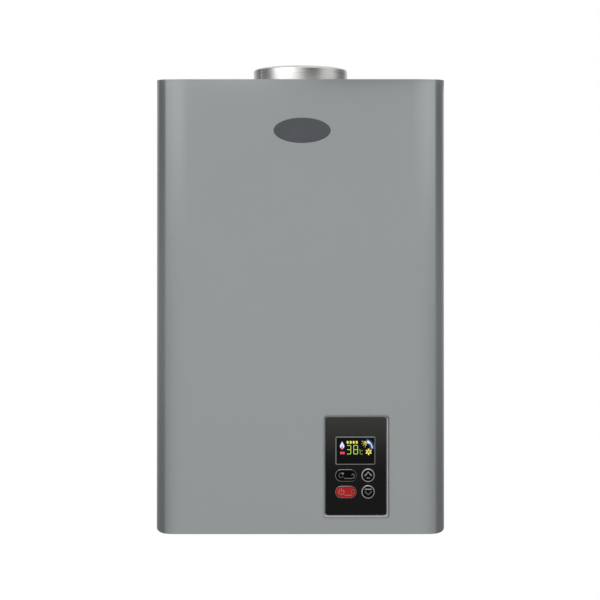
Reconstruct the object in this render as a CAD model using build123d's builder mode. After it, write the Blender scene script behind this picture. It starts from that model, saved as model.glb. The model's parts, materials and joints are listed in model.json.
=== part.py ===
from build123d import *
import os
from math import cos, radians, sin

# A wall-hung tankless gas water heater with a fan-driven flue.
# Millimetres. The wall is the plane Y = 0, the front looks along -Y, +Z is up and
# the origin lies between the two wall slots, on the wall.

os.makedirs("parts", exist_ok=True)

# Stock and fits
SHEET = 1.0
CLEAR = 0.3
RUNNING = 0.05
CUT = 5.0

# Casing
CASE_WIDTH = 381.0
CASE_HEIGHT = 600.0
CASE_DEPTH = 150.0
EDGE_RADIUS = 15.0
CROWN_RADIUS = 160.0
CROWN_ANGLE = 10.0
LIP_WIDTH = 11.0
WALL_GAP = 1.5
SKIRT_HEIGHT = 8.0
SKIRT_START = 1.5
SKIRT_FILLET = 5.0
PLATE_FLANGE = 12.0
SLOT_DROP = 42.0
SLOT_INSET = 40.5
SLOT_LENGTH = 20.0
SLOT_WIDTH = 7.0
TAB_WIDTH = 32.0
TAB_DROP = 15.0
TAB_CORNER = 6.0
TAB_HOLE = 7.0
TAB_HOLE_RISE = 9.0
BEAD_SPACING = 120.0
BEAD_BASE = 60.0
BEAD_LENGTH = 470.0
BEAD_WIDTH = 18.0
BEAD_DEPTH = 3.0
LOUVRE_LENGTH = 44.0
LOUVRE_WIDTH = 6.0
LOUVRE_PITCH = 12.0
LOUVRE_COUNT = 5
LOUVRE_OFFSET = 52.0
LOUVRE_FRONT_ROOM = 42.0

# Badge
BADGE_WIDTH = 75.0
BADGE_HEIGHT = 33.0
BADGE_THICK = 1.6
BADGE_EDGE = 0.6
BADGE_DROP = 67.6
BADGE_X = 2.2

# Control panel
PANEL_X = 73.8
PANEL_RISE = 88.6
BEZEL_WIDTH = 86.0
BEZEL_HEIGHT = 135.2
BEZEL_DEPTH = 3.2
BEZEL_CORNER = 4.5
BEZEL_BEVEL = 1.1
BEZEL_EDGE = 0.8
FASCIA_WIDTH = 79.6
FASCIA_HEIGHT = 128.0
FASCIA_SHIFT_X = -0.9
FASCIA_SHIFT_Z = 1.0
FASCIA_DEPTH = 2.0
FASCIA_CORNER = 3.5
FASCIA_SEAT = 2.0
HOUSING_DEPTH = 20.0
HOUSING_WALL = 2.0
LUG_WIDTH = 14.0
LUG_REACH = 1.8
LUG_DEPTH = 4.0
LUG_SPACING = 70.0
POST = 6.0
POST_INSET = 5.5
BOARD_THICK = 1.6
SCREEN_X = -0.4
SCREEN_Z = 20.3
SCREEN_WIDTH = 53.6
SCREEN_HEIGHT = 38.0
SCREEN_RIM = 1.7
MODULE_DEPTH = 6.0
MODULE_MARGIN = 2.0

# Push buttons
KEY_LEFT_X = -12.9
KEY_RIGHT_X = 16.2
KEY_UPPER_Z = -12.1
KEY_LOWER_Z = -33.9
KEY_LENGTH = 26.2
KEY_HEIGHT = 14.0
KEY_ROUND = 14.3
KEY_GAP = 0.3
KEY_PROUD = 1.1
KEY_EDGE = 0.6
KEY_FLANGE = 1.2
KEY_FLANGE_THICK = 1.0
KEY_SLACK = 0.1
KEY_TRAVEL = 0.6
SWITCH_SIDE = 6.0
SWITCH_TIP = 3.0
SWITCH_TIP_HEIGHT = 1.0

# Flue collar and outlet box
FLUE_FRONT_ROOM = 14.5
FLUE_BACK_ROOM = 8.5
FLUE_WALL = 1.0
FLUE_RISE = 20.2
FLUE_ROLL = 3.0
FLUE_ROLL_IN = 1.0
COLLAR_DROP = 14.0
COLLAR_FLANGE = 3.5
COLLAR_STOP = 0.8
SEAL_WIDTH = 2.2
SEAL_HEIGHT = 2.0
OUTLET_HEIGHT = 18.0
FLAP_LAP = 2.0
FLAP_THICK = 0.8
FLAP_PIN = 3.0
FLAP_KNUCKLE = 5.4
FLAP_EAR = 2.0

# Exhaust fan and hood
WHEEL_DIAMETER = 100.0
WHEEL_GAP = 5.0
WHEEL_EYE = 78.0
WHEEL_PLATE = 1.2
WHEEL_HUB = 18.0
WHEEL_HUB_LENGTH = 16.0
BLADE_COUNT = 16
BLADE_THICK = 1.0
BLADE_BOW = 1.1
SHAFT = 6.0
SHAFT_TAIL = 2.0
SCROLL_DEPTH_SHARE = 0.32
SCROLL_GAP = 10.0
SCROLL_STEP = 10.0
OUTLET_WIDTH = 65.0
OUTLET_RISE = 75.0
TONGUE_RADIUS = 5.0
MOTOR_DIAMETER = 62.0
MOTOR_LENGTH_SHARE = 0.24
MOTOR_EDGE = 4.0
MOTOR_BOSS = 16.0
MOTOR_BOSS_LENGTH = 5.0
MOTOR_FEET = 3
MOTOR_FOOT = 12.0
MOTOR_FOOT_REACH = 40.0
MOTOR_FOOT_THICK = 3.0
HOOD_GAP = 6.0
HOOD_RISE = 22.0
HOOD_THROAT_WIDTH = 170.0
HOOD_THROAT_DEPTH = 40.0
CHAMBER_WIDTH = 140.0
CHAMBER_DEPTH_SHARE = 0.20
CHAMBER_TOP = 58.0
CHAMBER_STEP = 8.0
PRESSURE_SWITCH = 40.0
PRESSURE_SWITCH_DEPTH = 18.0
PRESSURE_SWITCH_EDGE = 3.0
PRESSURE_SWITCH_X = 105.0
PRESSURE_SWITCH_DROP = 100.0
NIPPLE = 6.0
NIPPLE_LENGTH = 10.0

# Heat exchanger and burner
CORE_SIDE_ROOM = 72.5
CORE_FRONT_ROOM = 23.0
CORE_BACK_ROOM = 23.0
BURNER_BASE = 160.0
BURNER_HEIGHT = 68.0
SHELL_HEIGHT = 150.0
FIN_COUNT = 5
FIN_THICK = 1.0
FIN_HEIGHT = 52.0
FIN_DROP = 6.0
TUBE = 18.0
TUBE_BORE = 16.0
TUBE_COUNT = 2
TUBE_PITCH = 46.0
TUBE_REACH = 3.0
HEADER_WIDTH = 24.0
HEADER_INSET = 6.0
HEADER_HEIGHT = 32.0
HEADER_EDGE = 6.0
BRACKET_HEIGHT = 30.0
BRACKET_FOOT = 22.0
BRACKET_ARM = 40.0
LEDGE = 10.0
BAR_COUNT = 8
BAR_MARGIN = 10.0
BAR_HEAD = 15.0
BAR_HEAD_HEIGHT = 14.0
BAR_FLARE = 75.0
BAR_WEB = 5.0
BAR_THROAT = 16.0
BAR_HEIGHT = 56.0
BAR_MOUTH = 10.0
PORT_COUNT = 4
PORT_PITCH = 22.0
PORT_WIDTH = 2.0
PORT_DEPTH = 3.0
MANIFOLD_DEPTH = 12.0
MANIFOLD_HEIGHT = 14.0
MANIFOLD_GAP = 6.0
MANIFOLD_FOOT = 14.0
MANIFOLD_ROUND = 3.0
INJECTOR = 7.0
ELECTRODE_X = -60.0
ELECTRODE_RISE = 14.0
ELECTRODE_SPACING = 26.0
ELECTRODE_BODY = 7.0
ELECTRODE_LENGTH = 16.0
ELECTRODE_TIP = 2.4
ELECTRODE_TIP_LENGTH = 30.0
CUTOUT_DIAMETER = 16.0
CUTOUT_DEPTH = 7.0
CUTOUT_DROP = 22.0
CUTOUT_GAP = 2.0
CUTOUT_BACK = 45.0

# Pipe fittings in the base
GAS_X = 0.0
HALF_INCH_THREAD = 20.955
HALF_INCH_BORE = 14.0
FITTING_HEX = 30.0
FITTING_FLANGE = 6.0
FITTING_SHANK = 22.4
THREAD_DROP = 7.0
PIPE = 14.0
PIPE_BORE = 12.0

# Gas valve
VALVE_WIDTH = 64.0
VALVE_DEPTH = 52.0
VALVE_HEIGHT = 58.0
VALVE_EDGE = 4.0
VALVE_NOSE = 30.0
VALVE_NOSE_HEIGHT = 30.0
COIL_DIAMETER = 26.0
COIL_HEIGHT = 32.0
COIL_SPACING = 30.0
PLUNGER = 10.0
PLUNGER_LENGTH = 22.0
PLUNGER_TRAVEL = 3.0
PLUNGER_SEAT = 0.1
RISER = 14.0

# Water flow sensor
SENSOR_DIAMETER = 32.0
SENSOR_LENGTH = 62.0
SENSOR_BORE = 22.0
SENSOR_END = 8.0
SENSOR_HALL = 14.0
TURBINE_DIAMETER = 20.0
TURBINE_LENGTH = 22.0
TURBINE_HUB = 8.0
TURBINE_BLADES = 5
TURBINE_BLADE = 1.4
AXLE = 2.4
SPIDER = 3.0
DRAIN_OFFSET = 30.0
DRAIN_PORT = 10.0
DRAIN_KNOB = 15.0
DRAIN_KNOB_HEIGHT = 9.0
DRAIN_RIBS = 8
DRAIN_RIB = 1.6
DRAIN_BRIDGE = 14.0
NECK_HEIGHT = 10.0

# Electrical pieces
BOX_WIDTH = 32.0
BOX_DEPTH = 58.0
BOX_HEIGHT = 150.0
BOX_WALL = 2.0
BOX_BASE = 165.0
BOX_SIDE_ROOM = 15.0
CHIP_DEPTH = 12.0
CHIP_SIDE = 14.0
CHIP_PITCH = 34.0
CHIP_COUNT = 4
IGNITER_X = -62.0
IGNITER_BACK = 28.0
IGNITER_WIDTH = 52.0
IGNITER_DEPTH = 30.0
IGNITER_HEIGHT = 34.0
IGNITER_EDGE = 3.0
GLAND_X = 62.0
GLAND_BACK = 24.0
GLAND_THREAD = 15.0
GLAND_HEX = 19.0
GLAND_NUT = 4.0
GLAND_BORE = 7.4
GLAND_CAP = 7.0
GLAND_EDGE = 1.75

# Places worked out from the sizes
top_z = SLOT_DROP
bottom_z = top_z - CASE_HEIGHT
lip_z = bottom_z + SKIRT_HEIGHT
base_z = lip_z + SHEET
base_top = base_z + SHEET
roof_z = top_z - SHEET
plate_inset = SHEET + CLEAR
plate_half = CASE_WIDTH / 2 - plate_inset
slot_spacing = CASE_WIDTH - 2 * SLOT_INSET

crown_x = CASE_WIDTH / 2 - EDGE_RADIUS - (CROWN_RADIUS - EDGE_RADIUS) * sin(radians(CROWN_ANGLE))
crown_y = CROWN_RADIUS - CASE_DEPTH
edge_x = CASE_WIDTH / 2 - EDGE_RADIUS
edge_y = crown_y - (CROWN_RADIUS - EDGE_RADIUS) * cos(radians(CROWN_ANGLE))

flue_diameter = CASE_DEPTH - FLUE_FRONT_ROOM - FLUE_BACK_ROOM
flue_y = -FLUE_BACK_ROOM - flue_diameter / 2
collar_z = top_z - COLLAR_DROP
outlet_z = collar_z - OUTLET_HEIGHT
outlet_side = flue_diameter + 2 * COLLAR_FLANGE + 2 * SHEET

scroll_depth = SCROLL_DEPTH_SHARE * CASE_DEPTH
motor_length = MOTOR_LENGTH_SHARE * CASE_DEPTH
chamber_depth = CHAMBER_DEPTH_SHARE * CASE_DEPTH
wheel_width = scroll_depth - 2 * SHEET - 2 * WHEEL_GAP
spiral_radius = WHEEL_DIAMETER / 2 + SCROLL_GAP
scroll_right = SCROLL_STEP / 2 + spiral_radius + 2 * SCROLL_STEP
fan_x = OUTLET_WIDTH / 2 - scroll_right
fan_z = outlet_z - OUTLET_RISE
chamber_back = -SHEET - HOOD_GAP
scroll_back = chamber_back - chamber_depth
scroll_front = scroll_back - scroll_depth
motor_front = scroll_front - motor_length

core_width = CASE_WIDTH - 2 * CORE_SIDE_ROOM
core_depth = CASE_DEPTH - CORE_FRONT_ROOM - CORE_BACK_ROOM
core_y = -CORE_BACK_ROOM - core_depth / 2
core_front = core_y - core_depth / 2
core_back = core_y + core_depth / 2
burner_z = bottom_z + BURNER_BASE
shell_z = burner_z + BURNER_HEIGHT
hood_z = shell_z + SHELL_HEIGHT
tube_z = hood_z - FIN_DROP - FIN_HEIGHT / 2
header_depth = core_depth - 2 * HEADER_INSET
header_z = tube_z - HEADER_HEIGHT / 2
cutout_z = header_z - CUTOUT_DROP
bracket_z = cutout_z - CUTOUT_DIAMETER / 2 - CUTOUT_GAP - BRACKET_HEIGHT

electrode_z = shell_z + ELECTRODE_RISE
electrode_places = [(ELECTRODE_X + step * ELECTRODE_SPACING, electrode_z) for step in range(2)]
manifold_y = core_front - MANIFOLD_GAP - MANIFOLD_DEPTH / 2
bar_z = burner_z + SHEET
bar_pitch = (core_width - 2 * BAR_MARGIN) / BAR_COUNT
injector_z = bar_z + BAR_THROAT / 2

pipe_y = core_y
fitting_top = base_top + FITTING_FLANGE
valve_top = fitting_top + VALVE_HEIGHT
cold_x = (core_width + HEADER_WIDTH) / 2
hot_x = -cold_x
sensor_z = fitting_top + NECK_HEIGHT
sensor_top = sensor_z + SENSOR_LENGTH

panel_z = bottom_z + PANEL_RISE
fascia_x = PANEL_X + FASCIA_SHIFT_X
fascia_z = panel_z + FASCIA_SHIFT_Z
opening_width = FASCIA_WIDTH - 2 * FASCIA_SEAT
opening_height = FASCIA_HEIGHT - 2 * FASCIA_SEAT
housing_width = opening_width - 2 * CLEAR
housing_height = opening_height - 2 * CLEAR
board_width = housing_width - 2 * HOUSING_WALL - 2 * CLEAR
board_height = housing_height - 2 * HOUSING_WALL - 2 * CLEAR
lens_width = SCREEN_WIDTH - 2 * SCREEN_RIM
lens_height = SCREEN_HEIGHT - 2 * SCREEN_RIM

badge_z = top_z - BADGE_DROP


# Shared outlines and forms
def case_outline(inset, rear, mode=Mode.ADD):
    """Plan of the casing, drawn inside its outer skin and closed along a rear line."""
    half = CASE_WIDTH / 2 - inset
    front = inset - CASE_DEPTH
    with BuildLine() as plan:
        Line((-crown_x, front), (crown_x, front))
        CenterArc((crown_x, crown_y), CROWN_RADIUS - inset, -90, CROWN_ANGLE)
        CenterArc((edge_x, edge_y), EDGE_RADIUS - inset, CROWN_ANGLE - 90, 90 - CROWN_ANGLE)
        Polyline((half, edge_y), (half, rear), (-half, rear), (-half, edge_y))
        CenterArc((-edge_x, edge_y), EDGE_RADIUS - inset, 180, 90 - CROWN_ANGLE)
        CenterArc((-crown_x, crown_y), CROWN_RADIUS - inset, -90 - CROWN_ANGLE, CROWN_ANGLE)
    make_face(plan.edges(), mode=mode)


def scroll_outline(inset, top):
    """Fan scroll seen from the front: three growing quarter arcs and an upright mouth."""
    shift = SCROLL_STEP / 2
    first, second, third = (spiral_radius + turn * SCROLL_STEP - inset for turn in range(3))
    right = fan_x + scroll_right - inset
    left = fan_x + scroll_right - OUTLET_WIDTH + inset
    tongue = fan_z - shift + first
    with BuildLine() as spiral:
        Polyline((right, fan_z + shift), (right, top), (left, top), (left, tongue))
        Line((left, tongue), (fan_x - shift, tongue))
        CenterArc((fan_x - shift, fan_z - shift), first, 90, 90)
        CenterArc((fan_x + shift, fan_z - shift), second, 180, 90)
        CenterArc((fan_x + shift, fan_z + shift), third, 270, 90)
    face = make_face(spiral.edges())
    fillet(face.vertices().sort_by_distance((left, tongue, 0))[0], TONGUE_RADIUS + inset)


def front_plane(depth):
    """Sketch plane parallel to the front face, a given depth behind it."""
    return Plane.XZ.offset(CASE_DEPTH - depth)


def long_key(grow):
    """Outline of an oblong button, grown by a margin."""
    SlotOverall(KEY_LENGTH + 2 * grow, KEY_HEIGHT + 2 * grow)


def round_key(grow):
    """Outline of a round button, grown by a margin."""
    Circle(KEY_ROUND / 2 + grow)


keys = {
    "mode_button": (fascia_x + KEY_LEFT_X, fascia_z + KEY_UPPER_Z, long_key),
    "up_button": (fascia_x + KEY_RIGHT_X, fascia_z + KEY_UPPER_Z, round_key),
    "power_button": (fascia_x + KEY_LEFT_X, fascia_z + KEY_LOWER_Z, long_key),
    "down_button": (fascia_x + KEY_RIGHT_X, fascia_z + KEY_LOWER_Z, round_key),
}

pieces = {}

# Front cover: one wrapped sheet with folds at both ends and a short front skirt
with BuildPart() as front_cover:
    with BuildSketch(Plane.XY.offset(bottom_z)):
        case_outline(0, -WALL_GAP)
    extrude(amount=CASE_HEIGHT)
    with BuildSketch(Plane.XY.offset(base_z)):
        case_outline(SHEET, CUT)
    extrude(amount=roof_z - base_z, mode=Mode.SUBTRACT)
    with BuildSketch(Plane.XY.offset(lip_z - CUT)):
        case_outline(LIP_WIDTH, CUT)
    extrude(amount=CASE_HEIGHT + CUT, mode=Mode.SUBTRACT)
    with BuildSketch(Plane.XY.offset(bottom_z)):
        case_outline(SHEET, CUT)
    extrude(amount=SKIRT_HEIGHT, mode=Mode.SUBTRACT)
    with BuildSketch(Plane.YZ) as rise:
        with BuildLine():
            Polyline(
                (SKIRT_START - CASE_DEPTH, bottom_z - CUT),
                (SKIRT_START - CASE_DEPTH, bottom_z),
                (edge_y, lip_z),
                (CUT, lip_z),
                (CUT, bottom_z - CUT),
                close=True,
            )
        make_face()
        fillet(rise.vertices().sort_by_distance((0, edge_y, lip_z))[0], SKIRT_FILLET)
    extrude(amount=CASE_WIDTH, both=True, mode=Mode.SUBTRACT)
    with BuildSketch(front_plane(0)):
        with Locations((fascia_x, fascia_z)):
            Rectangle(opening_width, opening_height)
    extrude(amount=CUT, both=True, mode=Mode.SUBTRACT)
pieces["front_cover"] = front_cover.part

# Back panel: wall slots above, screw tabs below, pressed beads and turned sides
with BuildPart() as back_panel:
    with BuildSketch(Plane.XZ) as back_sheet:
        with Locations((0, (base_z + roof_z) / 2)):
            Rectangle(2 * plate_half, roof_z - base_z)
        with Locations(*[(side * slot_spacing / 2, bottom_z - TAB_DROP) for side in (-1, 1)]):
            Rectangle(TAB_WIDTH, base_top - bottom_z + TAB_DROP, align=(Align.CENTER, Align.MIN))
        fillet(back_sheet.vertices().group_by(Axis.Z)[0], TAB_CORNER)
    extrude(amount=SHEET)
    with BuildSketch(Plane.XZ.offset(SHEET)):
        with Locations(*[(side * (plate_half - SHEET / 2), (base_z + roof_z) / 2) for side in (-1, 1)]):
            Rectangle(SHEET, roof_z - base_z - 2 * (SHEET + PLATE_FLANGE + CLEAR))
    extrude(amount=PLATE_FLANGE)
    bead_places = [(side * BEAD_SPACING / 2, bottom_z + BEAD_BASE + BEAD_LENGTH / 2) for side in (-1, 1)]
    with BuildSketch(Plane.XZ):
        with Locations(*bead_places):
            Rectangle(BEAD_WIDTH, BEAD_LENGTH)
    extrude(amount=SHEET + BEAD_DEPTH)
    with BuildSketch(Plane.XZ):
        with Locations(*bead_places):
            Rectangle(BEAD_WIDTH - 2 * SHEET, BEAD_LENGTH - 2 * SHEET)
    extrude(amount=BEAD_DEPTH, mode=Mode.SUBTRACT)
    with BuildSketch(Plane.XZ):
        with GridLocations(slot_spacing, 0, 2, 1):
            SlotOverall(SLOT_LENGTH, SLOT_WIDTH)
        with Locations((0, bottom_z - TAB_DROP + TAB_HOLE_RISE)):
            with GridLocations(slot_spacing, 0, 2, 1):
                Circle(TAB_HOLE / 2)
    extrude(amount=CUT, both=True, mode=Mode.SUBTRACT)
pieces["back_panel"] = back_panel.part

# Top plate: turned edges and the hole that the flue collar stands in
with BuildPart() as top_plate:
    with BuildSketch(Plane.XY.offset(roof_z - SHEET)):
        case_outline(plate_inset, -SHEET)
        with Locations((0, flue_y)):
            Circle(flue_diameter / 2 + COLLAR_STOP + CLEAR, mode=Mode.SUBTRACT)
    extrude(amount=SHEET)
    with BuildSketch(Plane.XY.offset(roof_z - SHEET - PLATE_FLANGE)):
        case_outline(plate_inset, -SHEET)
        case_outline(plate_inset + SHEET, -2 * SHEET, mode=Mode.SUBTRACT)
    extrude(amount=PLATE_FLANGE)
pieces["top_plate"] = top_plate.part

# Base plate: six-sided pipe holes and the louvres that let combustion air in
with BuildPart() as base_plate:
    with BuildSketch(Plane.XY.offset(base_z)):
        case_outline(plate_inset, -SHEET)
        with Locations((cold_x, pipe_y), (hot_x, pipe_y), (GAS_X, pipe_y)):
            RegularPolygon(FITTING_SHANK / 2 + CLEAR, 6, major_radius=False, mode=Mode.SUBTRACT)
        with Locations((cold_x - DRAIN_OFFSET, pipe_y)):
            RegularPolygon(DRAIN_PORT / 2 + CLEAR, 6, major_radius=False, mode=Mode.SUBTRACT)
        with Locations((GLAND_X, -GLAND_BACK)):
            RegularPolygon(GLAND_THREAD / 2, 6, major_radius=False, mode=Mode.SUBTRACT)
        for side in (-1, 1):
            with Locations((side * LOUVRE_OFFSET, LOUVRE_FRONT_ROOM - CASE_DEPTH)):
                with GridLocations(0, LOUVRE_PITCH, 1, LOUVRE_COUNT):
                    Rectangle(LOUVRE_LENGTH, LOUVRE_WIDTH, mode=Mode.SUBTRACT)
    extrude(amount=SHEET)
    with BuildSketch(Plane.XY.offset(base_top)):
        case_outline(plate_inset, -SHEET)
        case_outline(plate_inset + SHEET, -2 * SHEET, mode=Mode.SUBTRACT)
    extrude(amount=PLATE_FLANGE)
pieces["base_plate"] = base_plate.part

# Oval badge plate
with BuildPart() as badge_plate:
    with BuildSketch(front_plane(0)):
        with Locations((BADGE_X, badge_z)):
            Ellipse(BADGE_WIDTH / 2, BADGE_HEIGHT / 2)
    extrude(amount=BADGE_THICK)
    chamfer(badge_plate.faces().sort_by(Axis.Y)[0].edges(), BADGE_EDGE)
pieces["badge_plate"] = badge_plate.part

# Bezel of the control panel, bevelled towards the fascia
with BuildPart() as panel_bezel:
    with BuildSketch(front_plane(0)):
        with Locations((PANEL_X, panel_z)):
            RectangleRounded(BEZEL_WIDTH, BEZEL_HEIGHT, BEZEL_CORNER)
        with Locations((fascia_x, fascia_z)):
            RectangleRounded(
                FASCIA_WIDTH + 2 * CLEAR,
                FASCIA_HEIGHT + 2 * CLEAR,
                FASCIA_CORNER + CLEAR,
                mode=Mode.SUBTRACT,
            )
    extrude(amount=BEZEL_DEPTH)
    rim = panel_bezel.faces().sort_by(Axis.Y)[0]
    chamfer(rim.inner_wires()[0].edges(), BEZEL_BEVEL, BEZEL_EDGE)
    rim = panel_bezel.faces().sort_by(Axis.Y)[0]
    chamfer(rim.outer_wire().edges(), BEZEL_EDGE)
pieces["panel_bezel"] = panel_bezel.part

# Fascia with its screen window and button holes
with BuildPart() as panel_fascia:
    with BuildSketch(front_plane(0)):
        with Locations((fascia_x, fascia_z)):
            RectangleRounded(FASCIA_WIDTH, FASCIA_HEIGHT, FASCIA_CORNER)
        with Locations((fascia_x + SCREEN_X, fascia_z + SCREEN_Z)):
            Rectangle(lens_width, lens_height, mode=Mode.SUBTRACT)
    extrude(amount=FASCIA_DEPTH)
    with BuildSketch(front_plane(0)):
        for x, z, outline in keys.values():
            with Locations((x, z)):
                outline(KEY_GAP)
    extrude(amount=FASCIA_DEPTH, mode=Mode.SUBTRACT)
pieces["panel_fascia"] = panel_fascia.part

# Clear lens, let into the fascia
with BuildPart() as display_lens:
    with BuildSketch(front_plane(0)):
        with Locations((fascia_x + SCREEN_X, fascia_z + SCREEN_Z)):
            Rectangle(lens_width - 2 * RUNNING, lens_height - 2 * RUNNING)
    extrude(amount=FASCIA_DEPTH)
pieces["display_lens"] = display_lens.part

# Display module behind the lens
with BuildPart() as display_module:
    with BuildSketch(front_plane(0)):
        with Locations((fascia_x + SCREEN_X, fascia_z + SCREEN_Z)):
            Rectangle(lens_width + 2 * MODULE_MARGIN, lens_height + 2 * MODULE_MARGIN)
    extrude(amount=-MODULE_DEPTH)
pieces["display_module"] = display_module.part

# Display board, on the posts of the housing
with BuildPart() as display_board:
    with BuildSketch(front_plane(MODULE_DEPTH)):
        with Locations((fascia_x, fascia_z)):
            Rectangle(board_width, board_height)
    extrude(amount=-BOARD_THICK)
pieces["display_board"] = display_board.part

# Housing behind the fascia, held in the cover's opening by side lugs
with BuildPart() as panel_housing:
    with BuildSketch(front_plane(0)):
        with Locations((fascia_x, fascia_z)):
            Rectangle(housing_width, housing_height)
    extrude(amount=-HOUSING_DEPTH)
    offset(amount=-HOUSING_WALL, openings=panel_housing.faces().sort_by(Axis.Y)[0])
    with BuildSketch(front_plane(SHEET + KEY_SLACK)):
        with Locations((fascia_x, fascia_z)):
            with GridLocations(housing_width + LUG_REACH, LUG_SPACING, 2, 2):
                Rectangle(LUG_REACH, LUG_WIDTH)
    extrude(amount=-LUG_DEPTH)
    with BuildSketch(front_plane(MODULE_DEPTH + BOARD_THICK)):
        with Locations((fascia_x, fascia_z)):
            with GridLocations(board_width - 2 * POST_INSET, board_height - 2 * POST_INSET, 2, 2):
                Rectangle(POST, POST)
    extrude(amount=MODULE_DEPTH + BOARD_THICK + HOUSING_WALL - HOUSING_DEPTH)
pieces["panel_housing"] = panel_housing.part

# Buttons: a cap through the fascia and a flange that stops behind it
for name, (x, z, outline) in keys.items():
    with BuildPart() as button:
        with BuildSketch(front_plane(KEY_SLACK)):
            with Locations((x, z)):
                outline(0)
        extrude(amount=KEY_SLACK + FASCIA_DEPTH + KEY_PROUD)
        chamfer(button.faces().sort_by(Axis.Y)[0].edges(), KEY_EDGE)
        with BuildSketch(front_plane(KEY_SLACK)):
            with Locations((x, z)):
                outline(KEY_FLANGE)
        extrude(amount=-KEY_FLANGE_THICK)
    pieces[name] = button.part

# Key switches on the board, one behind each button
switch_depth = 2 * KEY_SLACK + KEY_FLANGE_THICK + KEY_TRAVEL
with BuildPart() as key_switches:
    for x, z, outline in keys.values():
        with BuildSketch(front_plane(MODULE_DEPTH)):
            with Locations((x, z)):
                Rectangle(SWITCH_SIDE, SWITCH_SIDE)
        extrude(amount=MODULE_DEPTH - switch_depth - SWITCH_TIP_HEIGHT)
        with BuildSketch(front_plane(switch_depth)):
            with Locations((x, z)):
                Rectangle(SWITCH_TIP, SWITCH_TIP)
        extrude(amount=-SWITCH_TIP_HEIGHT)
pieces["key_switches"] = key_switches.part

# Flue collar: flanged spigot with a stop for the flue pipe and a rolled-in rim
with BuildPart() as flue_collar:
    with BuildSketch(Plane.XZ.offset(-flue_y)):
        outer = flue_diameter / 2
        rim_z = top_z + FLUE_RISE
        with BuildLine():
            Polyline(
                (outer - FLUE_WALL, rim_z - FLUE_ROLL),
                (outer - FLUE_WALL, collar_z),
                (outer + COLLAR_FLANGE, collar_z),
                (outer + COLLAR_FLANGE, collar_z + SHEET),
                (outer + COLLAR_STOP, collar_z + SHEET),
                (outer + COLLAR_STOP, roof_z + SEAL_HEIGHT + CLEAR),
                (outer, roof_z + SEAL_HEIGHT + CLEAR),
                (outer, rim_z - FLUE_ROLL),
            )
            roll = TangentArc((outer, rim_z - FLUE_ROLL), (outer - FLUE_ROLL_IN, rim_z), tangent=(0, 1))
            tip = Line(roll @ 1, (outer - FLUE_ROLL_IN - FLUE_WALL, rim_z))
            TangentArc((outer - FLUE_WALL, rim_z - FLUE_ROLL), tip @ 1, tangent=(0, 1))
        make_face()
    revolve(axis=Axis((0, flue_y, 0), (0, 0, 1)))
pieces["flue_collar"] = flue_collar.part

# Seal ring that closes the top plate round the collar
with BuildPart() as collar_seal:
    with BuildSketch(Plane.XY.offset(roof_z)):
        with Locations((0, flue_y)):
            Circle(flue_diameter / 2 + COLLAR_STOP + SEAL_WIDTH)
            Circle(flue_diameter / 2 + COLLAR_STOP + RUNNING, mode=Mode.SUBTRACT)
    extrude(amount=SEAL_HEIGHT)
pieces["collar_seal"] = collar_seal.part

# Outlet box under the collar: an open tray with the ears of the backdraught flap
mouth_y = (scroll_back + scroll_front) / 2
mouth_depth = scroll_depth - 2 * SHEET
mouth_width = OUTLET_WIDTH - 2 * SHEET
floor_z = outlet_z + SHEET
flap_width = mouth_width + 2 * FLAP_LAP
flap_reach = mouth_depth + 2 * FLAP_LAP + FLAP_KNUCKLE / 2
pin_y = mouth_y + mouth_depth / 2 + FLAP_LAP + FLAP_KNUCKLE / 2
pin_z = floor_z + CLEAR + FLAP_KNUCKLE / 2
ear_x = flap_width / 2 + CLEAR + FLAP_EAR / 2
with BuildPart() as outlet_box:
    with BuildSketch(Plane.XY.offset(outlet_z)):
        with Locations((0, flue_y)):
            Rectangle(outlet_side, outlet_side)
    extrude(amount=OUTLET_HEIGHT - SHEET)
    offset(amount=-SHEET, openings=outlet_box.faces().sort_by(Axis.Z)[-1])
    with BuildSketch(Plane.XY.offset(outlet_z)):
        with Locations((0, mouth_y)):
            Rectangle(mouth_width, mouth_depth)
    extrude(amount=SHEET, mode=Mode.SUBTRACT)
    with BuildSketch(Plane.XY.offset(floor_z)):
        with Locations(*[(side * ear_x, pin_y) for side in (-1, 1)]):
            Rectangle(FLAP_EAR, FLAP_KNUCKLE)
    extrude(amount=CLEAR + FLAP_KNUCKLE)
    with BuildSketch(Plane.YZ):
        with Locations((pin_y, pin_z)):
            Circle(FLAP_PIN / 2 + RUNNING)
    extrude(amount=ear_x + FLAP_EAR, both=True, mode=Mode.SUBTRACT)
pieces["outlet_box"] = outlet_box.part

# Lid of the outlet box, which carries the collar
with BuildPart() as outlet_lid:
    with BuildSketch(Plane.XY.offset(collar_z - SHEET)):
        with Locations((0, flue_y)):
            Rectangle(outlet_side, outlet_side)
            Circle(flue_diameter / 2 - FLUE_WALL, mode=Mode.SUBTRACT)
    extrude(amount=SHEET)
pieces["outlet_lid"] = outlet_lid.part

# Hinge pin of the flap
with BuildPart() as flap_pin:
    with BuildSketch(Plane.YZ):
        with Locations((pin_y, pin_z)):
            Circle(FLAP_PIN / 2)
    extrude(amount=ear_x + FLAP_EAR / 2, both=True)
pieces["flap_pin"] = flap_pin.part

# Backdraught flap, which lies on the outlet and lifts with the exhaust
with BuildPart() as backdraught_flap:
    with BuildSketch(Plane.XY.offset(floor_z + CLEAR)):
        with Locations((0, pin_y)):
            Rectangle(flap_width, flap_reach, align=(Align.CENTER, Align.MAX))
    extrude(amount=FLAP_THICK)
    with BuildSketch(Plane.YZ):
        with Locations((pin_y, pin_z)):
            Circle(FLAP_KNUCKLE / 2)
    extrude(amount=flap_width / 2, both=True)
    with BuildSketch(Plane.YZ):
        with Locations((pin_y, pin_z)):
            Circle(FLAP_PIN / 2 + RUNNING)
    extrude(amount=flap_width, both=True, mode=Mode.SUBTRACT)
pieces["backdraught_flap"] = backdraught_flap.part

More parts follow.
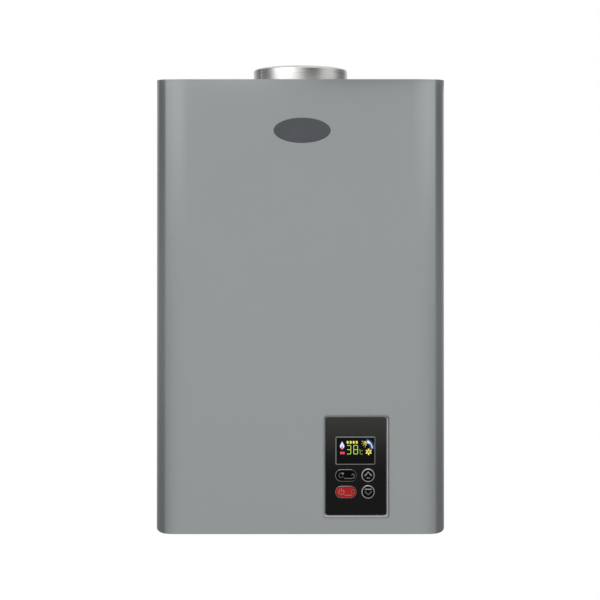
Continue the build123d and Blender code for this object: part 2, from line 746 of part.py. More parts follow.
# Fan scroll
with BuildPart() as fan_scroll:
    with BuildSketch(Plane.XZ.offset(-scroll_back)):
        scroll_outline(0, outlet_z)
    extrude(amount=scroll_depth)
    with BuildSketch(Plane.XZ.offset(SHEET - scroll_back)):
        scroll_outline(SHEET, outlet_z + CUT)
    extrude(amount=scroll_depth - 2 * SHEET, mode=Mode.SUBTRACT)
    with BuildSketch(Plane.XZ.offset(-scroll_back)):
        with Locations((fan_x, fan_z)):
            Circle(WHEEL_EYE / 2)
    extrude(amount=SHEET, mode=Mode.SUBTRACT)
    with BuildSketch(Plane.XZ.offset(-scroll_front)):
        with Locations((fan_x, fan_z)):
            Circle(MOTOR_BOSS / 2)
    extrude(amount=-SHEET, mode=Mode.SUBTRACT)
pieces["fan_scroll"] = fan_scroll.part

# Fan wheel: curved blades between a drive plate and a front ring
wheel_back = (scroll_back + scroll_front + wheel_width) / 2
wheel_front = wheel_back - wheel_width
blade_root = WHEEL_EYE / 2 + BLADE_THICK
blade_tip = WHEEL_DIAMETER / 2 - BLADE_THICK
with BuildSketch() as blade:
    with BuildLine():
        belly = SagittaArc((blade_root, 0), (blade_tip, 0), BLADE_BOW)
        back = SagittaArc((blade_root, BLADE_THICK), (blade_tip, BLADE_THICK), BLADE_BOW)
        Line(belly @ 0, back @ 0)
        Line(belly @ 1, back @ 1)
    make_face()
with BuildPart() as fan_wheel:
    wheel_plane = Plane(origin=(fan_x, wheel_front, fan_z), x_dir=(1, 0, 0), z_dir=(0, 1, 0))
    with BuildSketch(wheel_plane):
        Circle(WHEEL_DIAMETER / 2)
    extrude(amount=WHEEL_PLATE)
    with BuildSketch(wheel_plane):
        with PolarLocations(0, BLADE_COUNT):
            add(blade.sketch)
    extrude(amount=wheel_width)
    with BuildSketch(wheel_plane.offset(wheel_width - WHEEL_PLATE)):
        Circle(WHEEL_DIAMETER / 2)
        Circle(WHEEL_EYE / 2, mode=Mode.SUBTRACT)
    extrude(amount=WHEEL_PLATE)
    with BuildSketch(wheel_plane):
        Circle(WHEEL_HUB / 2)
    extrude(amount=WHEEL_HUB_LENGTH)
    with BuildSketch(wheel_plane):
        Circle(SHAFT / 2 + RUNNING)
    extrude(amount=WHEEL_HUB_LENGTH, mode=Mode.SUBTRACT)
pieces["fan_wheel"] = fan_wheel.part

# Fan shaft, from the motor's far bearing to the end of the hub
with BuildPart() as fan_shaft:
    with BuildSketch(Plane.XZ.offset(-motor_front - CLEAR)):
        with Locations((fan_x, fan_z)):
            Circle(SHAFT / 2)
    extrude(amount=motor_front + CLEAR - wheel_front - WHEEL_HUB_LENGTH - SHAFT_TAIL)
pieces["fan_shaft"] = fan_shaft.part

# Fan motor with three feet on the scroll
motor_plane = Plane.XZ.offset(-scroll_front)
with BuildPart() as fan_motor:
    with BuildSketch(motor_plane):
        with Locations((fan_x, fan_z)):
            Circle(MOTOR_DIAMETER / 2)
    extrude(amount=motor_length)
    chamfer(fan_motor.faces().sort_by(Axis.Y)[0].edges(), MOTOR_EDGE)
    with BuildSketch(motor_plane.offset(motor_length)):
        with Locations((fan_x, fan_z)):
            Circle(MOTOR_BOSS / 2)
    extrude(amount=MOTOR_BOSS_LENGTH)
    with BuildSketch(motor_plane):
        with Locations((fan_x, fan_z)):
            with PolarLocations(0, MOTOR_FEET):
                Rectangle(MOTOR_FOOT_REACH, MOTOR_FOOT, align=(Align.MIN, Align.CENTER))
    extrude(amount=MOTOR_FOOT_THICK)
    with BuildSketch(motor_plane):
        with Locations((fan_x, fan_z)):
            Circle(SHAFT / 2 + RUNNING)
    extrude(amount=motor_length + CLEAR, mode=Mode.SUBTRACT)
pieces["fan_motor"] = fan_motor.part

# Hood: gathers the flue gas above the heat exchanger and leads it to the fan's eye
with BuildPart() as exhaust_hood:
    with BuildSketch(Plane.XY.offset(hood_z)):
        with Locations((0, core_y)):
            Rectangle(core_width, core_depth)
    with BuildSketch(Plane.XY.offset(hood_z + HOOD_RISE)):
        with Locations((0, scroll_back)):
            Rectangle(HOOD_THROAT_WIDTH, HOOD_THROAT_DEPTH)
    loft()
    with BuildSketch(Plane.XY.offset(hood_z + CHAMBER_STEP)):
        with Locations((fan_x, (chamber_back + scroll_back) / 2)):
            Rectangle(CHAMBER_WIDTH, chamber_depth)
    extrude(amount=fan_z + CHAMBER_TOP - hood_z - CHAMBER_STEP)
    offset(amount=-SHEET, openings=exhaust_hood.faces().sort_by(Axis.Z)[0], kind=Kind.INTERSECTION)
    with BuildSketch(Plane.XZ.offset(-scroll_back)):
        with Locations((fan_x, fan_z)):
            Circle(WHEEL_EYE / 2)
    extrude(amount=-SHEET, mode=Mode.SUBTRACT)
pieces["exhaust_hood"] = exhaust_hood.part

# Wind pressure switch on the back panel
pressure_plane = Plane.XZ.offset(SHEET)
pressure_place = (PRESSURE_SWITCH_X, top_z - PRESSURE_SWITCH_DROP)
with BuildPart() as pressure_switch:
    with BuildSketch(pressure_plane):
        with Locations(pressure_place):
            Circle(PRESSURE_SWITCH / 2)
    extrude(amount=PRESSURE_SWITCH_DEPTH)
    chamfer(pressure_switch.faces().sort_by(Axis.Y)[0].edges(), PRESSURE_SWITCH_EDGE)
    with BuildSketch(pressure_plane.offset(PRESSURE_SWITCH_DEPTH)):
        with Locations(pressure_place):
            Circle(NIPPLE / 2)
    extrude(amount=NIPPLE_LENGTH)
pieces["pressure_switch"] = pressure_switch.part

# Heat exchanger shell, open above and below, with holes for the water tubes
with BuildPart() as exchanger_shell:
    with BuildSketch(Plane.XY.offset(shell_z)):
        with Locations((0, core_y)):
            Rectangle(core_width, core_depth)
            Rectangle(core_width - 2 * SHEET, core_depth - 2 * SHEET, mode=Mode.SUBTRACT)
    extrude(amount=SHELL_HEIGHT)
    with BuildSketch(Plane.YZ):
        with Locations((core_y, tube_z)):
            with GridLocations(TUBE_PITCH, 0, TUBE_COUNT, 1):
                Circle(TUBE / 2 + RUNNING)
    extrude(amount=core_width, both=True, mode=Mode.SUBTRACT)
    with BuildSketch(Plane.XZ.offset(-core_front)):
        with Locations(*electrode_places):
            Rectangle(ELECTRODE_TIP + 2 * CLEAR, ELECTRODE_TIP + 2 * CLEAR)
    extrude(amount=-SHEET, mode=Mode.SUBTRACT)
pieces["exchanger_shell"] = exchanger_shell.part

# Fins, brazed across the tubes
fin_pitch = (core_width - 2 * SHEET) / (FIN_COUNT + 1)
with BuildPart() as exchanger_fins:
    for number in range(FIN_COUNT):
        with BuildSketch(Plane.YZ.offset(fin_pitch * (number - (FIN_COUNT - 1) / 2) - FIN_THICK / 2)):
            with Locations((core_y, tube_z)):
                Rectangle(core_depth - 2 * SHEET - 2 * CLEAR, FIN_HEIGHT)
                with GridLocations(TUBE_PITCH, 0, TUBE_COUNT, 1):
                    Circle(TUBE / 2 + RUNNING, mode=Mode.SUBTRACT)
        extrude(amount=FIN_THICK)
pieces["exchanger_fins"] = exchanger_fins.part

# Water tubes, straight through the fins from side to side
with BuildPart() as exchanger_tubes:
    with BuildSketch(Plane.YZ):
        with Locations((core_y, tube_z)):
            with GridLocations(TUBE_PITCH, 0, TUBE_COUNT, 1):
                Circle(TUBE / 2)
                Circle(TUBE_BORE / 2, mode=Mode.SUBTRACT)
    extrude(amount=core_width / 2 + TUBE_REACH, both=True)
pieces["exchanger_tubes"] = exchanger_tubes.part

# Headers: pressed pans that join the tubes at each end of the exchanger
with BuildPart() as water_headers:
    with BuildSketch(Plane.YZ.offset(core_width / 2)):
        with Locations((core_y, tube_z)):
            Rectangle(header_depth, HEADER_HEIGHT)
    extrude(amount=HEADER_WIDTH)
    chamfer(water_headers.faces().sort_by(Axis.X)[-1].edges(), HEADER_EDGE)
    offset(amount=-SHEET, openings=water_headers.faces().sort_by(Axis.X)[0])
    with BuildSketch(Plane.XY.offset(header_z)):
        with Locations((cold_x, core_y)):
            Circle(PIPE_BORE / 2)
    extrude(amount=SHEET, mode=Mode.SUBTRACT)
    mirror(about=Plane.YZ)
pieces["water_headers"] = water_headers.part

# Brackets that carry the heat exchanger on the back panel
with BuildPart() as core_brackets:
    with BuildSketch(Plane.XY.offset(bracket_z)):
        with Locations((core_width / 2, -SHEET)):
            Rectangle(BRACKET_FOOT, SHEET, align=(Align.MIN, Align.MAX))
            Rectangle(SHEET, BRACKET_ARM, align=(Align.MIN, Align.MAX))
    extrude(amount=BRACKET_HEIGHT)
    mirror(about=Plane.YZ)
pieces["core_brackets"] = core_brackets.part

# Burner frame with ledges front and back for the burner bars
with BuildPart() as burner_frame:
    with BuildSketch(Plane.XY.offset(burner_z)):
        with Locations((0, core_y)):
            Rectangle(core_width, core_depth)
            Rectangle(core_width - 2 * SHEET, core_depth - 2 * SHEET, mode=Mode.SUBTRACT)
    extrude(amount=BURNER_HEIGHT)
    with BuildSketch(Plane.XY.offset(burner_z)):
        with Locations((0, core_y)):
            with GridLocations(0, core_depth - LEDGE, 1, 2):
                Rectangle(core_width, LEDGE)
    extrude(amount=SHEET)
    with BuildSketch(Plane.XZ.offset(-core_front)):
        with Locations((0, injector_z)):
            with GridLocations(bar_pitch, 0, BAR_COUNT, 1):
                Rectangle(BAR_MOUTH, BAR_MOUTH)
    extrude(amount=-SHEET, mode=Mode.SUBTRACT)
pieces["burner_frame"] = burner_frame.part

# Burner bars: a mixing throat, a web and a ported head each
bar_length = core_depth - 2 * SHEET - 2 * CLEAR
with BuildPart() as burner_bars:
    with BuildSketch(Plane.XZ.offset(SHEET + CLEAR - core_back)):
        with GridLocations(bar_pitch, 0, BAR_COUNT, 1):
            with Locations((0, bar_z)):
                Rectangle(BAR_THROAT, BAR_THROAT, align=(Align.CENTER, Align.MIN))
                Rectangle(BAR_WEB, BAR_HEIGHT, align=(Align.CENTER, Align.MIN))
            with Locations((0, bar_z + BAR_HEIGHT - BAR_HEAD_HEIGHT)):
                Trapezoid(BAR_HEAD, BAR_HEAD_HEIGHT, BAR_FLARE, align=(Align.CENTER, Align.MIN))
    extrude(amount=bar_length)
    with BuildSketch(Plane.XY.offset(bar_z + BAR_HEIGHT)):
        with Locations((0, core_y)):
            with GridLocations(bar_pitch, PORT_PITCH, BAR_COUNT, PORT_COUNT):
                Rectangle(BAR_HEAD, PORT_WIDTH)
    extrude(amount=-PORT_DEPTH, mode=Mode.SUBTRACT)
    with BuildSketch(Plane.XZ.offset(-core_front)):
        with Locations((0, injector_z)):
            with GridLocations(bar_pitch, 0, BAR_COUNT, 1):
                Rectangle(BAR_MOUTH, BAR_MOUTH)
    extrude(amount=-core_depth / 2, mode=Mode.SUBTRACT)
pieces["burner_bars"] = burner_bars.part

# Gas manifold across the burner's front, standing off on two feet
manifold_width = bar_pitch * BAR_COUNT
with BuildPart() as gas_manifold:
    with BuildSketch(Plane.XY.offset(injector_z - MANIFOLD_HEIGHT / 2)):
        with Locations((0, manifold_y)):
            Rectangle(manifold_width, MANIFOLD_DEPTH)
    extrude(amount=MANIFOLD_HEIGHT)
    fillet(gas_manifold.edges().filter_by(Axis.X), MANIFOLD_ROUND)
    with BuildSketch(Plane.XZ.offset(-core_front)):
        with Locations((0, injector_z)):
            with GridLocations(manifold_width + MANIFOLD_FOOT, 0, 2, 1):
                Rectangle(MANIFOLD_FOOT, MANIFOLD_HEIGHT)
    extrude(amount=MANIFOLD_GAP + MANIFOLD_DEPTH / 2)
pieces["gas_manifold"] = gas_manifold.part

# Injector nozzles, one in front of each burner bar
with BuildPart() as injectors:
    with BuildSketch(Plane.XZ.offset(-core_front)):
        with Locations((0, injector_z)):
            with GridLocations(bar_pitch, 0, BAR_COUNT, 1):
                RegularPolygon(INJECTOR / 2, 6, major_radius=False)
    extrude(amount=MANIFOLD_GAP)
pieces["injectors"] = injectors.part

# Spark electrode and flame sensor rod, side by side in the shell's front
with BuildPart() as electrodes:
    with BuildSketch(Plane.XZ.offset(-core_front)):
        with Locations(*electrode_places):
            Circle(ELECTRODE_BODY / 2)
    extrude(amount=ELECTRODE_LENGTH)
    with BuildSketch(Plane.XZ.offset(-core_front)):
        with Locations(*electrode_places):
            Circle(ELECTRODE_TIP / 2)
    extrude(amount=-ELECTRODE_TIP_LENGTH)
pieces["electrodes"] = electrodes.part

# Overheat cut-out on the shell's left wall
with BuildPart() as overheat_cutout:
    with BuildSketch(Plane.YZ.offset(-core_width / 2)):
        with Locations((-CUTOUT_BACK, cutout_z)):
            Circle(CUTOUT_DIAMETER / 2)
    extrude(amount=-CUTOUT_DEPTH)
pieces["overheat_cutout"] = overheat_cutout.part


# Threaded pipe stubs that stand on the base plate
def pipe_stub(x, neck, neck_top):
    """Hexagon flange on the base plate, a shank and a male thread below it, and a neck above."""
    with BuildPart() as stub:
        with BuildSketch(Plane.XY.offset(base_top)):
            with Locations((x, pipe_y)):
                RegularPolygon(FITTING_HEX / 2, 6, major_radius=False)
        extrude(amount=FITTING_FLANGE)
        with BuildSketch(Plane.XY.offset(bottom_z - THREAD_DROP)):
            with Locations((x, pipe_y)):
                Circle(HALF_INCH_THREAD / 2)
        extrude(amount=base_top - bottom_z + THREAD_DROP)
        with BuildSketch(Plane.XY.offset(base_z - CLEAR)):
            with Locations((x, pipe_y)):
                Circle(FITTING_SHANK / 2)
        extrude(amount=SHEET + CLEAR)
        if neck_top > fitting_top:
            with BuildSketch(Plane.XY.offset(fitting_top)):
                with Locations((x, pipe_y)):
                    Circle(neck / 2)
            extrude(amount=neck_top - fitting_top)
        with BuildSketch(Plane.XY.offset(bottom_z - THREAD_DROP)):
            with Locations((x, pipe_y)):
                Circle(HALF_INCH_BORE / 2)
        extrude(amount=fitting_top - bottom_z + THREAD_DROP - SHEET, mode=Mode.SUBTRACT)
    return stub.part


pieces["gas_inlet"] = pipe_stub(GAS_X, FITTING_HEX, fitting_top)
pieces["water_outlet"] = pipe_stub(hot_x, HALF_INCH_THREAD, sensor_z)
cold_stub = pipe_stub(cold_x, HALF_INCH_THREAD, sensor_z)

# Cold inlet: the stub and, beside it, the port of the drain plug
drain_x = cold_x - DRAIN_OFFSET
with BuildPart() as water_inlet:
    add(cold_stub)
    with BuildSketch(Plane.XY.offset(base_top)):
        with Locations(((cold_x + drain_x) / 2, pipe_y)):
            Rectangle(DRAIN_OFFSET, DRAIN_BRIDGE)
        with Locations((drain_x, pipe_y)):
            Circle(DRAIN_BRIDGE / 2)
        with Locations((cold_x, pipe_y)):
            Circle(HALF_INCH_THREAD / 2, mode=Mode.SUBTRACT)
    extrude(amount=FITTING_FLANGE)
    with BuildSketch(Plane.XY.offset(base_top)):
        with Locations((drain_x, pipe_y)):
            Circle(DRAIN_PORT / 2 - SHEET + RUNNING)
    extrude(amount=FITTING_FLANGE / 2, mode=Mode.SUBTRACT)
pieces["water_inlet"] = water_inlet.part

# Drain plug with a ribbed knob under the base plate
with BuildPart() as drain_plug:
    with BuildSketch(Plane.XY.offset(base_z - DRAIN_KNOB_HEIGHT - CLEAR)):
        with Locations((drain_x, pipe_y)):
            Circle(DRAIN_KNOB / 2)
            with PolarLocations(DRAIN_KNOB / 2, DRAIN_RIBS):
                Rectangle(DRAIN_RIB, DRAIN_RIB, mode=Mode.SUBTRACT)
    extrude(amount=DRAIN_KNOB_HEIGHT)
    with BuildSketch(Plane.XY.offset(base_z - CLEAR)):
        with Locations((drain_x, pipe_y)):
            Circle(DRAIN_PORT / 2 - SHEET)
    extrude(amount=SHEET + CLEAR + FITTING_FLANGE / 2)
pieces["drain_plug"] = drain_plug.part

# Gas valve: body on the inlet stub and a nose under the manifold
with BuildPart() as gas_valve:
    with BuildSketch(Plane.XY.offset(fitting_top)):
        with Locations((GAS_X, pipe_y)):
            Rectangle(VALVE_WIDTH, VALVE_DEPTH)
    extrude(amount=VALVE_HEIGHT)
    fillet(gas_valve.edges().filter_by(Axis.Z), VALVE_EDGE)
    nose_back = pipe_y - VALVE_DEPTH / 2 + VALVE_EDGE
    with BuildSketch(Plane.XY.offset(valve_top - VALVE_NOSE_HEIGHT)):
        with Locations((GAS_X, nose_back)):
            Rectangle(VALVE_NOSE, nose_back - manifold_y, align=(Align.CENTER, Align.MAX))
        with Locations((GAS_X, manifold_y)):
            Circle(RISER / 2 + SHEET)
    extrude(amount=VALVE_NOSE_HEIGHT)
pieces["gas_valve"] = gas_valve.part

# Riser from the valve's nose to the manifold
with BuildPart() as gas_riser:
    with BuildSketch(Plane.XY.offset(valve_top)):
        with Locations((GAS_X, manifold_y)):
            Circle(RISER / 2)
            Circle(RISER / 2 - SHEET, mode=Mode.SUBTRACT)
    extrude(amount=injector_z - MANIFOLD_HEIGHT / 2 - valve_top)
pieces["gas_riser"] = gas_riser.part

# Solenoid coils on top of the valve
coil_places = [(GAS_X + side * COIL_SPACING / 2, pipe_y) for side in (-1, 1)]
with BuildPart() as valve_coils:
    with BuildSketch(Plane.XY.offset(valve_top)):
        with Locations(*coil_places):
            Circle(COIL_DIAMETER / 2)
    extrude(amount=COIL_HEIGHT)
    with BuildSketch(Plane.XY.offset(valve_top)):
        with Locations(*coil_places):
            Circle(PLUNGER / 2 + RUNNING)
    extrude(amount=PLUNGER_SEAT + PLUNGER_LENGTH + PLUNGER_TRAVEL + CLEAR, mode=Mode.SUBTRACT)
pieces["valve_coils"] = valve_coils.part

# Plungers of the safety valve and the main valve
for name, place in zip(("safety_plunger", "main_plunger"), coil_places):
    with BuildPart() as plunger:
        with BuildSketch(Plane.XY.offset(valve_top + PLUNGER_SEAT)):
            with Locations(place):
                Circle(PLUNGER / 2)
        extrude(amount=PLUNGER_LENGTH)
    pieces[name] = plunger.part

# Flow sensor: a tube with a spider at each end that carries the turbine's axle
with BuildPart() as flow_sensor:
    with BuildSketch(Plane.XY.offset(sensor_z)):
        with Locations((cold_x, pipe_y)):
            Circle(SENSOR_DIAMETER / 2)
        with Locations((cold_x, pipe_y - SENSOR_DIAMETER / 2)):
            Rectangle(SENSOR_HALL, SENSOR_HALL)
    extrude(amount=SENSOR_LENGTH)
    with BuildSketch(Plane.XY.offset(sensor_z + SENSOR_END)):
        with Locations((cold_x, pipe_y)):
            Circle(SENSOR_BORE / 2)
    extrude(amount=SENSOR_LENGTH - 2 * SENSOR_END, mode=Mode.SUBTRACT)
    with BuildSketch(Plane.XY.offset(sensor_z)):
        with Locations((cold_x, pipe_y)):
            Circle(PIPE_BORE / 2)
    extrude(amount=SENSOR_LENGTH, mode=Mode.SUBTRACT)
    for foot in (sensor_z + SENSOR_END, sensor_top - SENSOR_END - SPIDER):
        with BuildSketch(Plane.XY.offset(foot)):
            with Locations((cold_x, pipe_y)):
                Rectangle(SENSOR_BORE, SPIDER)
        extrude(amount=SPIDER)
    with BuildSketch(Plane.XY.offset(sensor_z + SENSOR_END)):
        with Locations((cold_x, pipe_y)):
            Circle(AXLE / 2)
    extrude(amount=SENSOR_LENGTH - 2 * SENSOR_END)
pieces["flow_sensor"] = flow_sensor.part

# Turbine that spins on the axle in the water
turbine_z = sensor_z + (SENSOR_LENGTH - TURBINE_LENGTH) / 2
with BuildPart() as flow_turbine:
    with BuildSketch(Plane.XY.offset(turbine_z)):
        with Locations((cold_x, pipe_y)):
            Circle(TURBINE_HUB / 2)
            with PolarLocations(0, TURBINE_BLADES):
                Rectangle(TURBINE_DIAMETER / 2, TURBINE_BLADE, align=(Align.MIN, Align.CENTER))
            Circle(AXLE / 2 + RUNNING, mode=Mode.SUBTRACT)
    extrude(amount=TURBINE_LENGTH)
pieces["flow_turbine"] = flow_turbine.part

# Water pipes, straight up from the base to the two headers
for name, x, foot in (("cold_pipe", cold_x, sensor_top), ("hot_pipe", hot_x, sensor_z)):
    with BuildPart() as pipe:
        with BuildSketch(Plane.XY.offset(foot)):
            with Locations((x, pipe_y)):
                Circle(PIPE / 2)
                Circle(PIPE_BORE / 2, mode=Mode.SUBTRACT)
        extrude(amount=header_z - foot)
    pieces[name] = pipe.part

# Control box on the back panel, beside the heat exchanger
box_x = BOX_SIDE_ROOM + BOX_WIDTH / 2 - CASE_WIDTH / 2
box_z = bottom_z + BOX_BASE
with BuildPart() as control_box:
    with BuildSketch(Plane.XZ.offset(SHEET)):
        with Locations((box_x, box_z + BOX_HEIGHT / 2)):
            Rectangle(BOX_WIDTH, BOX_HEIGHT)
    extrude(amount=BOX_DEPTH)
    offset(amount=-BOX_WALL, openings=control_box.faces().sort_by(Axis.Y)[0])
pieces["control_box"] = control_box.part

# Lid of the control box
with BuildPart() as control_lid:
    with BuildSketch(Plane.XZ.offset(SHEET + BOX_DEPTH)):
        with Locations((box_x, box_z + BOX_HEIGHT / 2)):
            Rectangle(BOX_WIDTH, BOX_HEIGHT)
    extrude(amount=BOX_WALL)
pieces["control_lid"] = control_lid.part

# Control board with its relays and capacitors
with BuildPart() as control_board:
    with BuildSketch(Plane.XZ.offset(SHEET + BOX_WALL)):
        with Locations((box_x, box_z + BOX_HEIGHT / 2)):
            Rectangle(BOX_WIDTH - 2 * BOX_WALL - 2 * CLEAR, BOX_HEIGHT - 2 * BOX_WALL - 2 * CLEAR)
    extrude(amount=BOARD_THICK)
    with BuildSketch(Plane.XZ.offset(SHEET + BOX_WALL + BOARD_THICK)):
        with Locations((box_x, box_z + BOX_HEIGHT / 2)):
            with GridLocations(0, CHIP_PITCH, 1, CHIP_COUNT):
                Rectangle(CHIP_SIDE, CHIP_SIDE)
    extrude(amount=CHIP_DEPTH)
pieces["control_board"] = control_board.part

# Igniter, standing on the base plate
with BuildPart() as igniter:
    with BuildSketch(Plane.XY.offset(base_top)):
        with Locations((IGNITER_X, -IGNITER_BACK)):
            Rectangle(IGNITER_WIDTH, IGNITER_DEPTH)
    extrude(amount=IGNITER_HEIGHT)
    chamfer(igniter.edges().filter_by(Axis.Z), IGNITER_EDGE)
pieces["igniter"] = igniter.part

# Cable gland in the base plate
with BuildPart() as cable_gland:
    with BuildSketch(Plane.XY.offset(base_z)):
        with Locations((GLAND_X, -GLAND_BACK)):
            RegularPolygon(GLAND_THREAD / 2 - CLEAR, 6, major_radius=False)
    extrude(amount=SHEET)
    with BuildSketch(Plane.XY.offset(base_top)):
        with Locations((GLAND_X, -GLAND_BACK)):
            RegularPolygon(GLAND_HEX / 2, 6, major_radius=False)
    extrude(amount=GLAND_NUT)
    with BuildSketch(Plane.XY.offset(base_z)):
        with Locations((GLAND_X, -GLAND_BACK)):
            RegularPolygon(GLAND_HEX / 2, 6, major_radius=False)
    extrude(amount=-GLAND_CAP)
    chamfer(cable_gland.faces().sort_by(Axis.Z)[0].edges(), GLAND_EDGE)
    with BuildSketch(Plane.XY.offset(base_top + GLAND_NUT)):
        with Locations((GLAND_X, -GLAND_BACK)):
            Circle(GLAND_BORE / 2)
    extrude(amount=-GLAND_NUT - 2 * SHEET - GLAND_CAP, mode=Mode.SUBTRACT)
pieces["cable_gland"] = cable_gland.part

for name, piece in pieces.items():
    piece.label = name
    export_step(piece, f"parts/{name}.step")
print(len(pieces), "pieces")
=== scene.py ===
# %% [markdown]
# # A wall-hung tankless gas water heater
# The solids come from CAD and are never moved here. This lesson dresses them: a camera and
# studio light, a finish for every piece, and the small trim, print and fasteners that are
# finer than the solids. All lengths are metres, in the frame of the solids: the wall is the
# plane Y = 0, the front looks along -Y and +Z is up.

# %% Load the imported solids
import json
import math
import random

import bmesh
import bpy
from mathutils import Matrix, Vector


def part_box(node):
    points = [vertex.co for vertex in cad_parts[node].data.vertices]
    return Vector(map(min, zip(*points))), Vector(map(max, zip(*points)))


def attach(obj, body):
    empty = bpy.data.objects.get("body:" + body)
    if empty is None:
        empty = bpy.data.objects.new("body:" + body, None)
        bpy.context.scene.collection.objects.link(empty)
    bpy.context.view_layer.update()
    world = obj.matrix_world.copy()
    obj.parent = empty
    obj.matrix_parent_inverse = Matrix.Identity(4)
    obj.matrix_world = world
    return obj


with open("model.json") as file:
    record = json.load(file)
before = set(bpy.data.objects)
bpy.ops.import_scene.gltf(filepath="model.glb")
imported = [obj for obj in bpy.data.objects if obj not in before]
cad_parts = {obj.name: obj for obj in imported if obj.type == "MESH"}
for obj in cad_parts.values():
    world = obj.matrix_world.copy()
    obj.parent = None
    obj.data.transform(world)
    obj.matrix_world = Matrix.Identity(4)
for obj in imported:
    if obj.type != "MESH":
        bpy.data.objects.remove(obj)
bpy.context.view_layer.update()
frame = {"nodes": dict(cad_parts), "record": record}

MM = 0.001
solids = frame["nodes"]

# %% [markdown]
# ## Camera
# The photograph is a catalogue picture: a long lens, square on to the front, at half height.
# The rim of the flue collar shows as a flat arc, and that fixes the distance of the lens. A
# very small upward tilt makes the casing narrower at the top, as it is in the picture.

# %% Camera
LENS_DISTANCE = 2.637
LENS_LENGTH, SENSOR_WIDTH = 120.0, 36.0  # in millimetres, as Blender counts them
TILT = math.radians(0.5)
AIM_ASIDE, AIM_HEIGHT = -0.6 * MM, -0.2495

cover_low, cover_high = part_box("front_cover")
camera_data = bpy.data.cameras.new("camera")
camera_data.lens = LENS_LENGTH
camera_data.sensor_width = SENSOR_WIDTH
camera = bpy.data.objects.new("camera", camera_data)
camera_height = AIM_HEIGHT - LENS_DISTANCE * math.tan(TILT)
camera.location = (AIM_ASIDE, cover_low.y - LENS_DISTANCE, camera_height)
camera.rotation_euler = (math.radians(90) + TILT, 0, 0)
bpy.context.scene.collection.objects.link(camera)
bpy.context.scene.camera = camera
bpy.context.scene.view_settings.view_transform = "Standard"
print("camera at", [round(v, 3) for v in camera.location])

# %% [markdown]
# ## Finishes as expressions
# A finish is a small graph of nodes. Wrapping a socket in a class with the usual operators
# lets the graph be written as plain maths, so a mask reads as a formula. Every other node
# comes from one method that takes the node's type, its settings and its inputs.

# %% A socket that does maths
class Value:
    """One output socket, on which maths adds Math nodes."""

    def __init__(self, finish, socket):
        self.finish = finish
        self.socket = socket

    def maths(self, operation, *others):
        inputs = dict(enumerate((self, *others)))
        return self.finish.make("ShaderNodeMath", {"operation": operation}, inputs)

    def __add__(self, other):
        return self.maths("ADD", other)

    __radd__ = __add__

    def __sub__(self, other):
        return self.maths("SUBTRACT", other)

    def __rsub__(self, other):
        return (self * -1) + other

    def __mul__(self, other):
        return self.maths("MULTIPLY", other)

    __rmul__ = __mul__

    def __truediv__(self, other):
        return self.maths("DIVIDE", other)

    def __pow__(self, other):
        return self.maths("POWER", other)

    def smooth(self, low, high):
        """0 below low, 1 above high, and a soft step between them."""
        settings = {"interpolation_type": "SMOOTHSTEP"}
        return self.finish.make("ShaderNodeMapRange", settings, {0: self, 1: low, 2: high})


print("operators ready")

# %% A graph that adds nodes
class Graph:
    """A tree of nodes, and the one way to add a node to it."""

    def __init__(self, tree):
        self.tree = tree

    def make(self, kind, settings=None, inputs=None, output=0):
        """Adds a node: its settings first, then values or links for its inputs."""
        node = self.tree.nodes.new(kind)
        for key, value in (settings or {}).items():
            if key == "stops":
                while len(node.color_ramp.elements) < len(value):
                    node.color_ramp.elements.new(1.0)
                for stop, (place, colour) in zip(node.color_ramp.elements, value):
                    stop.position = place
                    stop.color = (*colour, 1.0)
            else:
                setattr(node, key, value)
        for key, value in (inputs or {}).items():
            self.feed(node.inputs[key], value)
        return Value(self, node.outputs[output])

    def feed(self, socket, value):
        """Links a value to an input, or sets the input to a number or a colour."""
        if isinstance(value, Value):
            self.tree.links.new(value.socket, socket)
        elif socket.type == "RGBA" and len(value) == 3:
            socket.default_value = (*value, 1.0)
        else:
            socket.default_value = value

    def seen(self):
        """1 for rays of the camera, of mirrors and of clear pieces, 0 for other rays."""
        camera_ray = self.make("ShaderNodeLightPath", output="Is Camera Ray")
        mirror_ray = self.make("ShaderNodeLightPath", output="Is Glossy Ray")
        clear_ray = self.make("ShaderNodeLightPath", output="Is Transmission Ray")
        return camera_ray.maths("MAXIMUM", mirror_ray).maths("MAXIMUM", clear_ray)


print("graph ready")

# %% A finish with one shader
class Finish(Graph):
    """A material with one Principled shader."""

    def __init__(self, name):
        self.material = bpy.data.materials.new(name)
        self.material.use_nodes = True
        super().__init__(self.material.node_tree)
        self.shader = self.tree.nodes["Principled BSDF"]

    def place(self, stretch=(1, 1, 1)):
        """Where a point is on the object, in metres, stretched along each axis."""
        here = self.make("ShaderNodeTexCoord", output="Object")
        if stretch == (1, 1, 1):
            return here
        return self.make("ShaderNodeMapping", None, {"Vector": here, "Scale": stretch})

    def part(self, axis):
        """One coordinate of the point: 0, 1 or 2 for X, Y or Z."""
        return self.make("ShaderNodeSeparateXYZ", None, {0: self.place()}, output=axis)

    def noise(self, scale, detail=2.0, stretch=(1, 1, 1)):
        """Clouds between 0 and 1; a larger scale makes them finer."""
        inputs = {"Vector": self.place(stretch), "Scale": scale, "Detail": detail}
        return self.make("ShaderNodeTexNoise", None, inputs)

    def blend(self, low, high, share):
        """A colour between two colours."""
        inputs = {0: share, 6: low, 7: high}
        return self.make("ShaderNodeMix", {"data_type": "RGBA"}, inputs, output=2)

    def bump(self, height, depth, strength):
        """A surface that looks rough: a height between 0 and 1 and its depth in metres."""
        inputs = {"Height": height, "Distance": depth, "Strength": strength}
        return self.make("ShaderNodeBump", None, inputs)

    def set(self, values):
        """Sets inputs of the Principled shader and gives the material back."""
        for key, value in values.items():
            self.feed(self.shader.inputs[key], value)
        return self.material


def toned(colour, share):
    """A colour made darker by a share below 1, or lighter by one above it."""
    return tuple(v * share for v in colour)


finishes = {}
print("finish helpers ready")

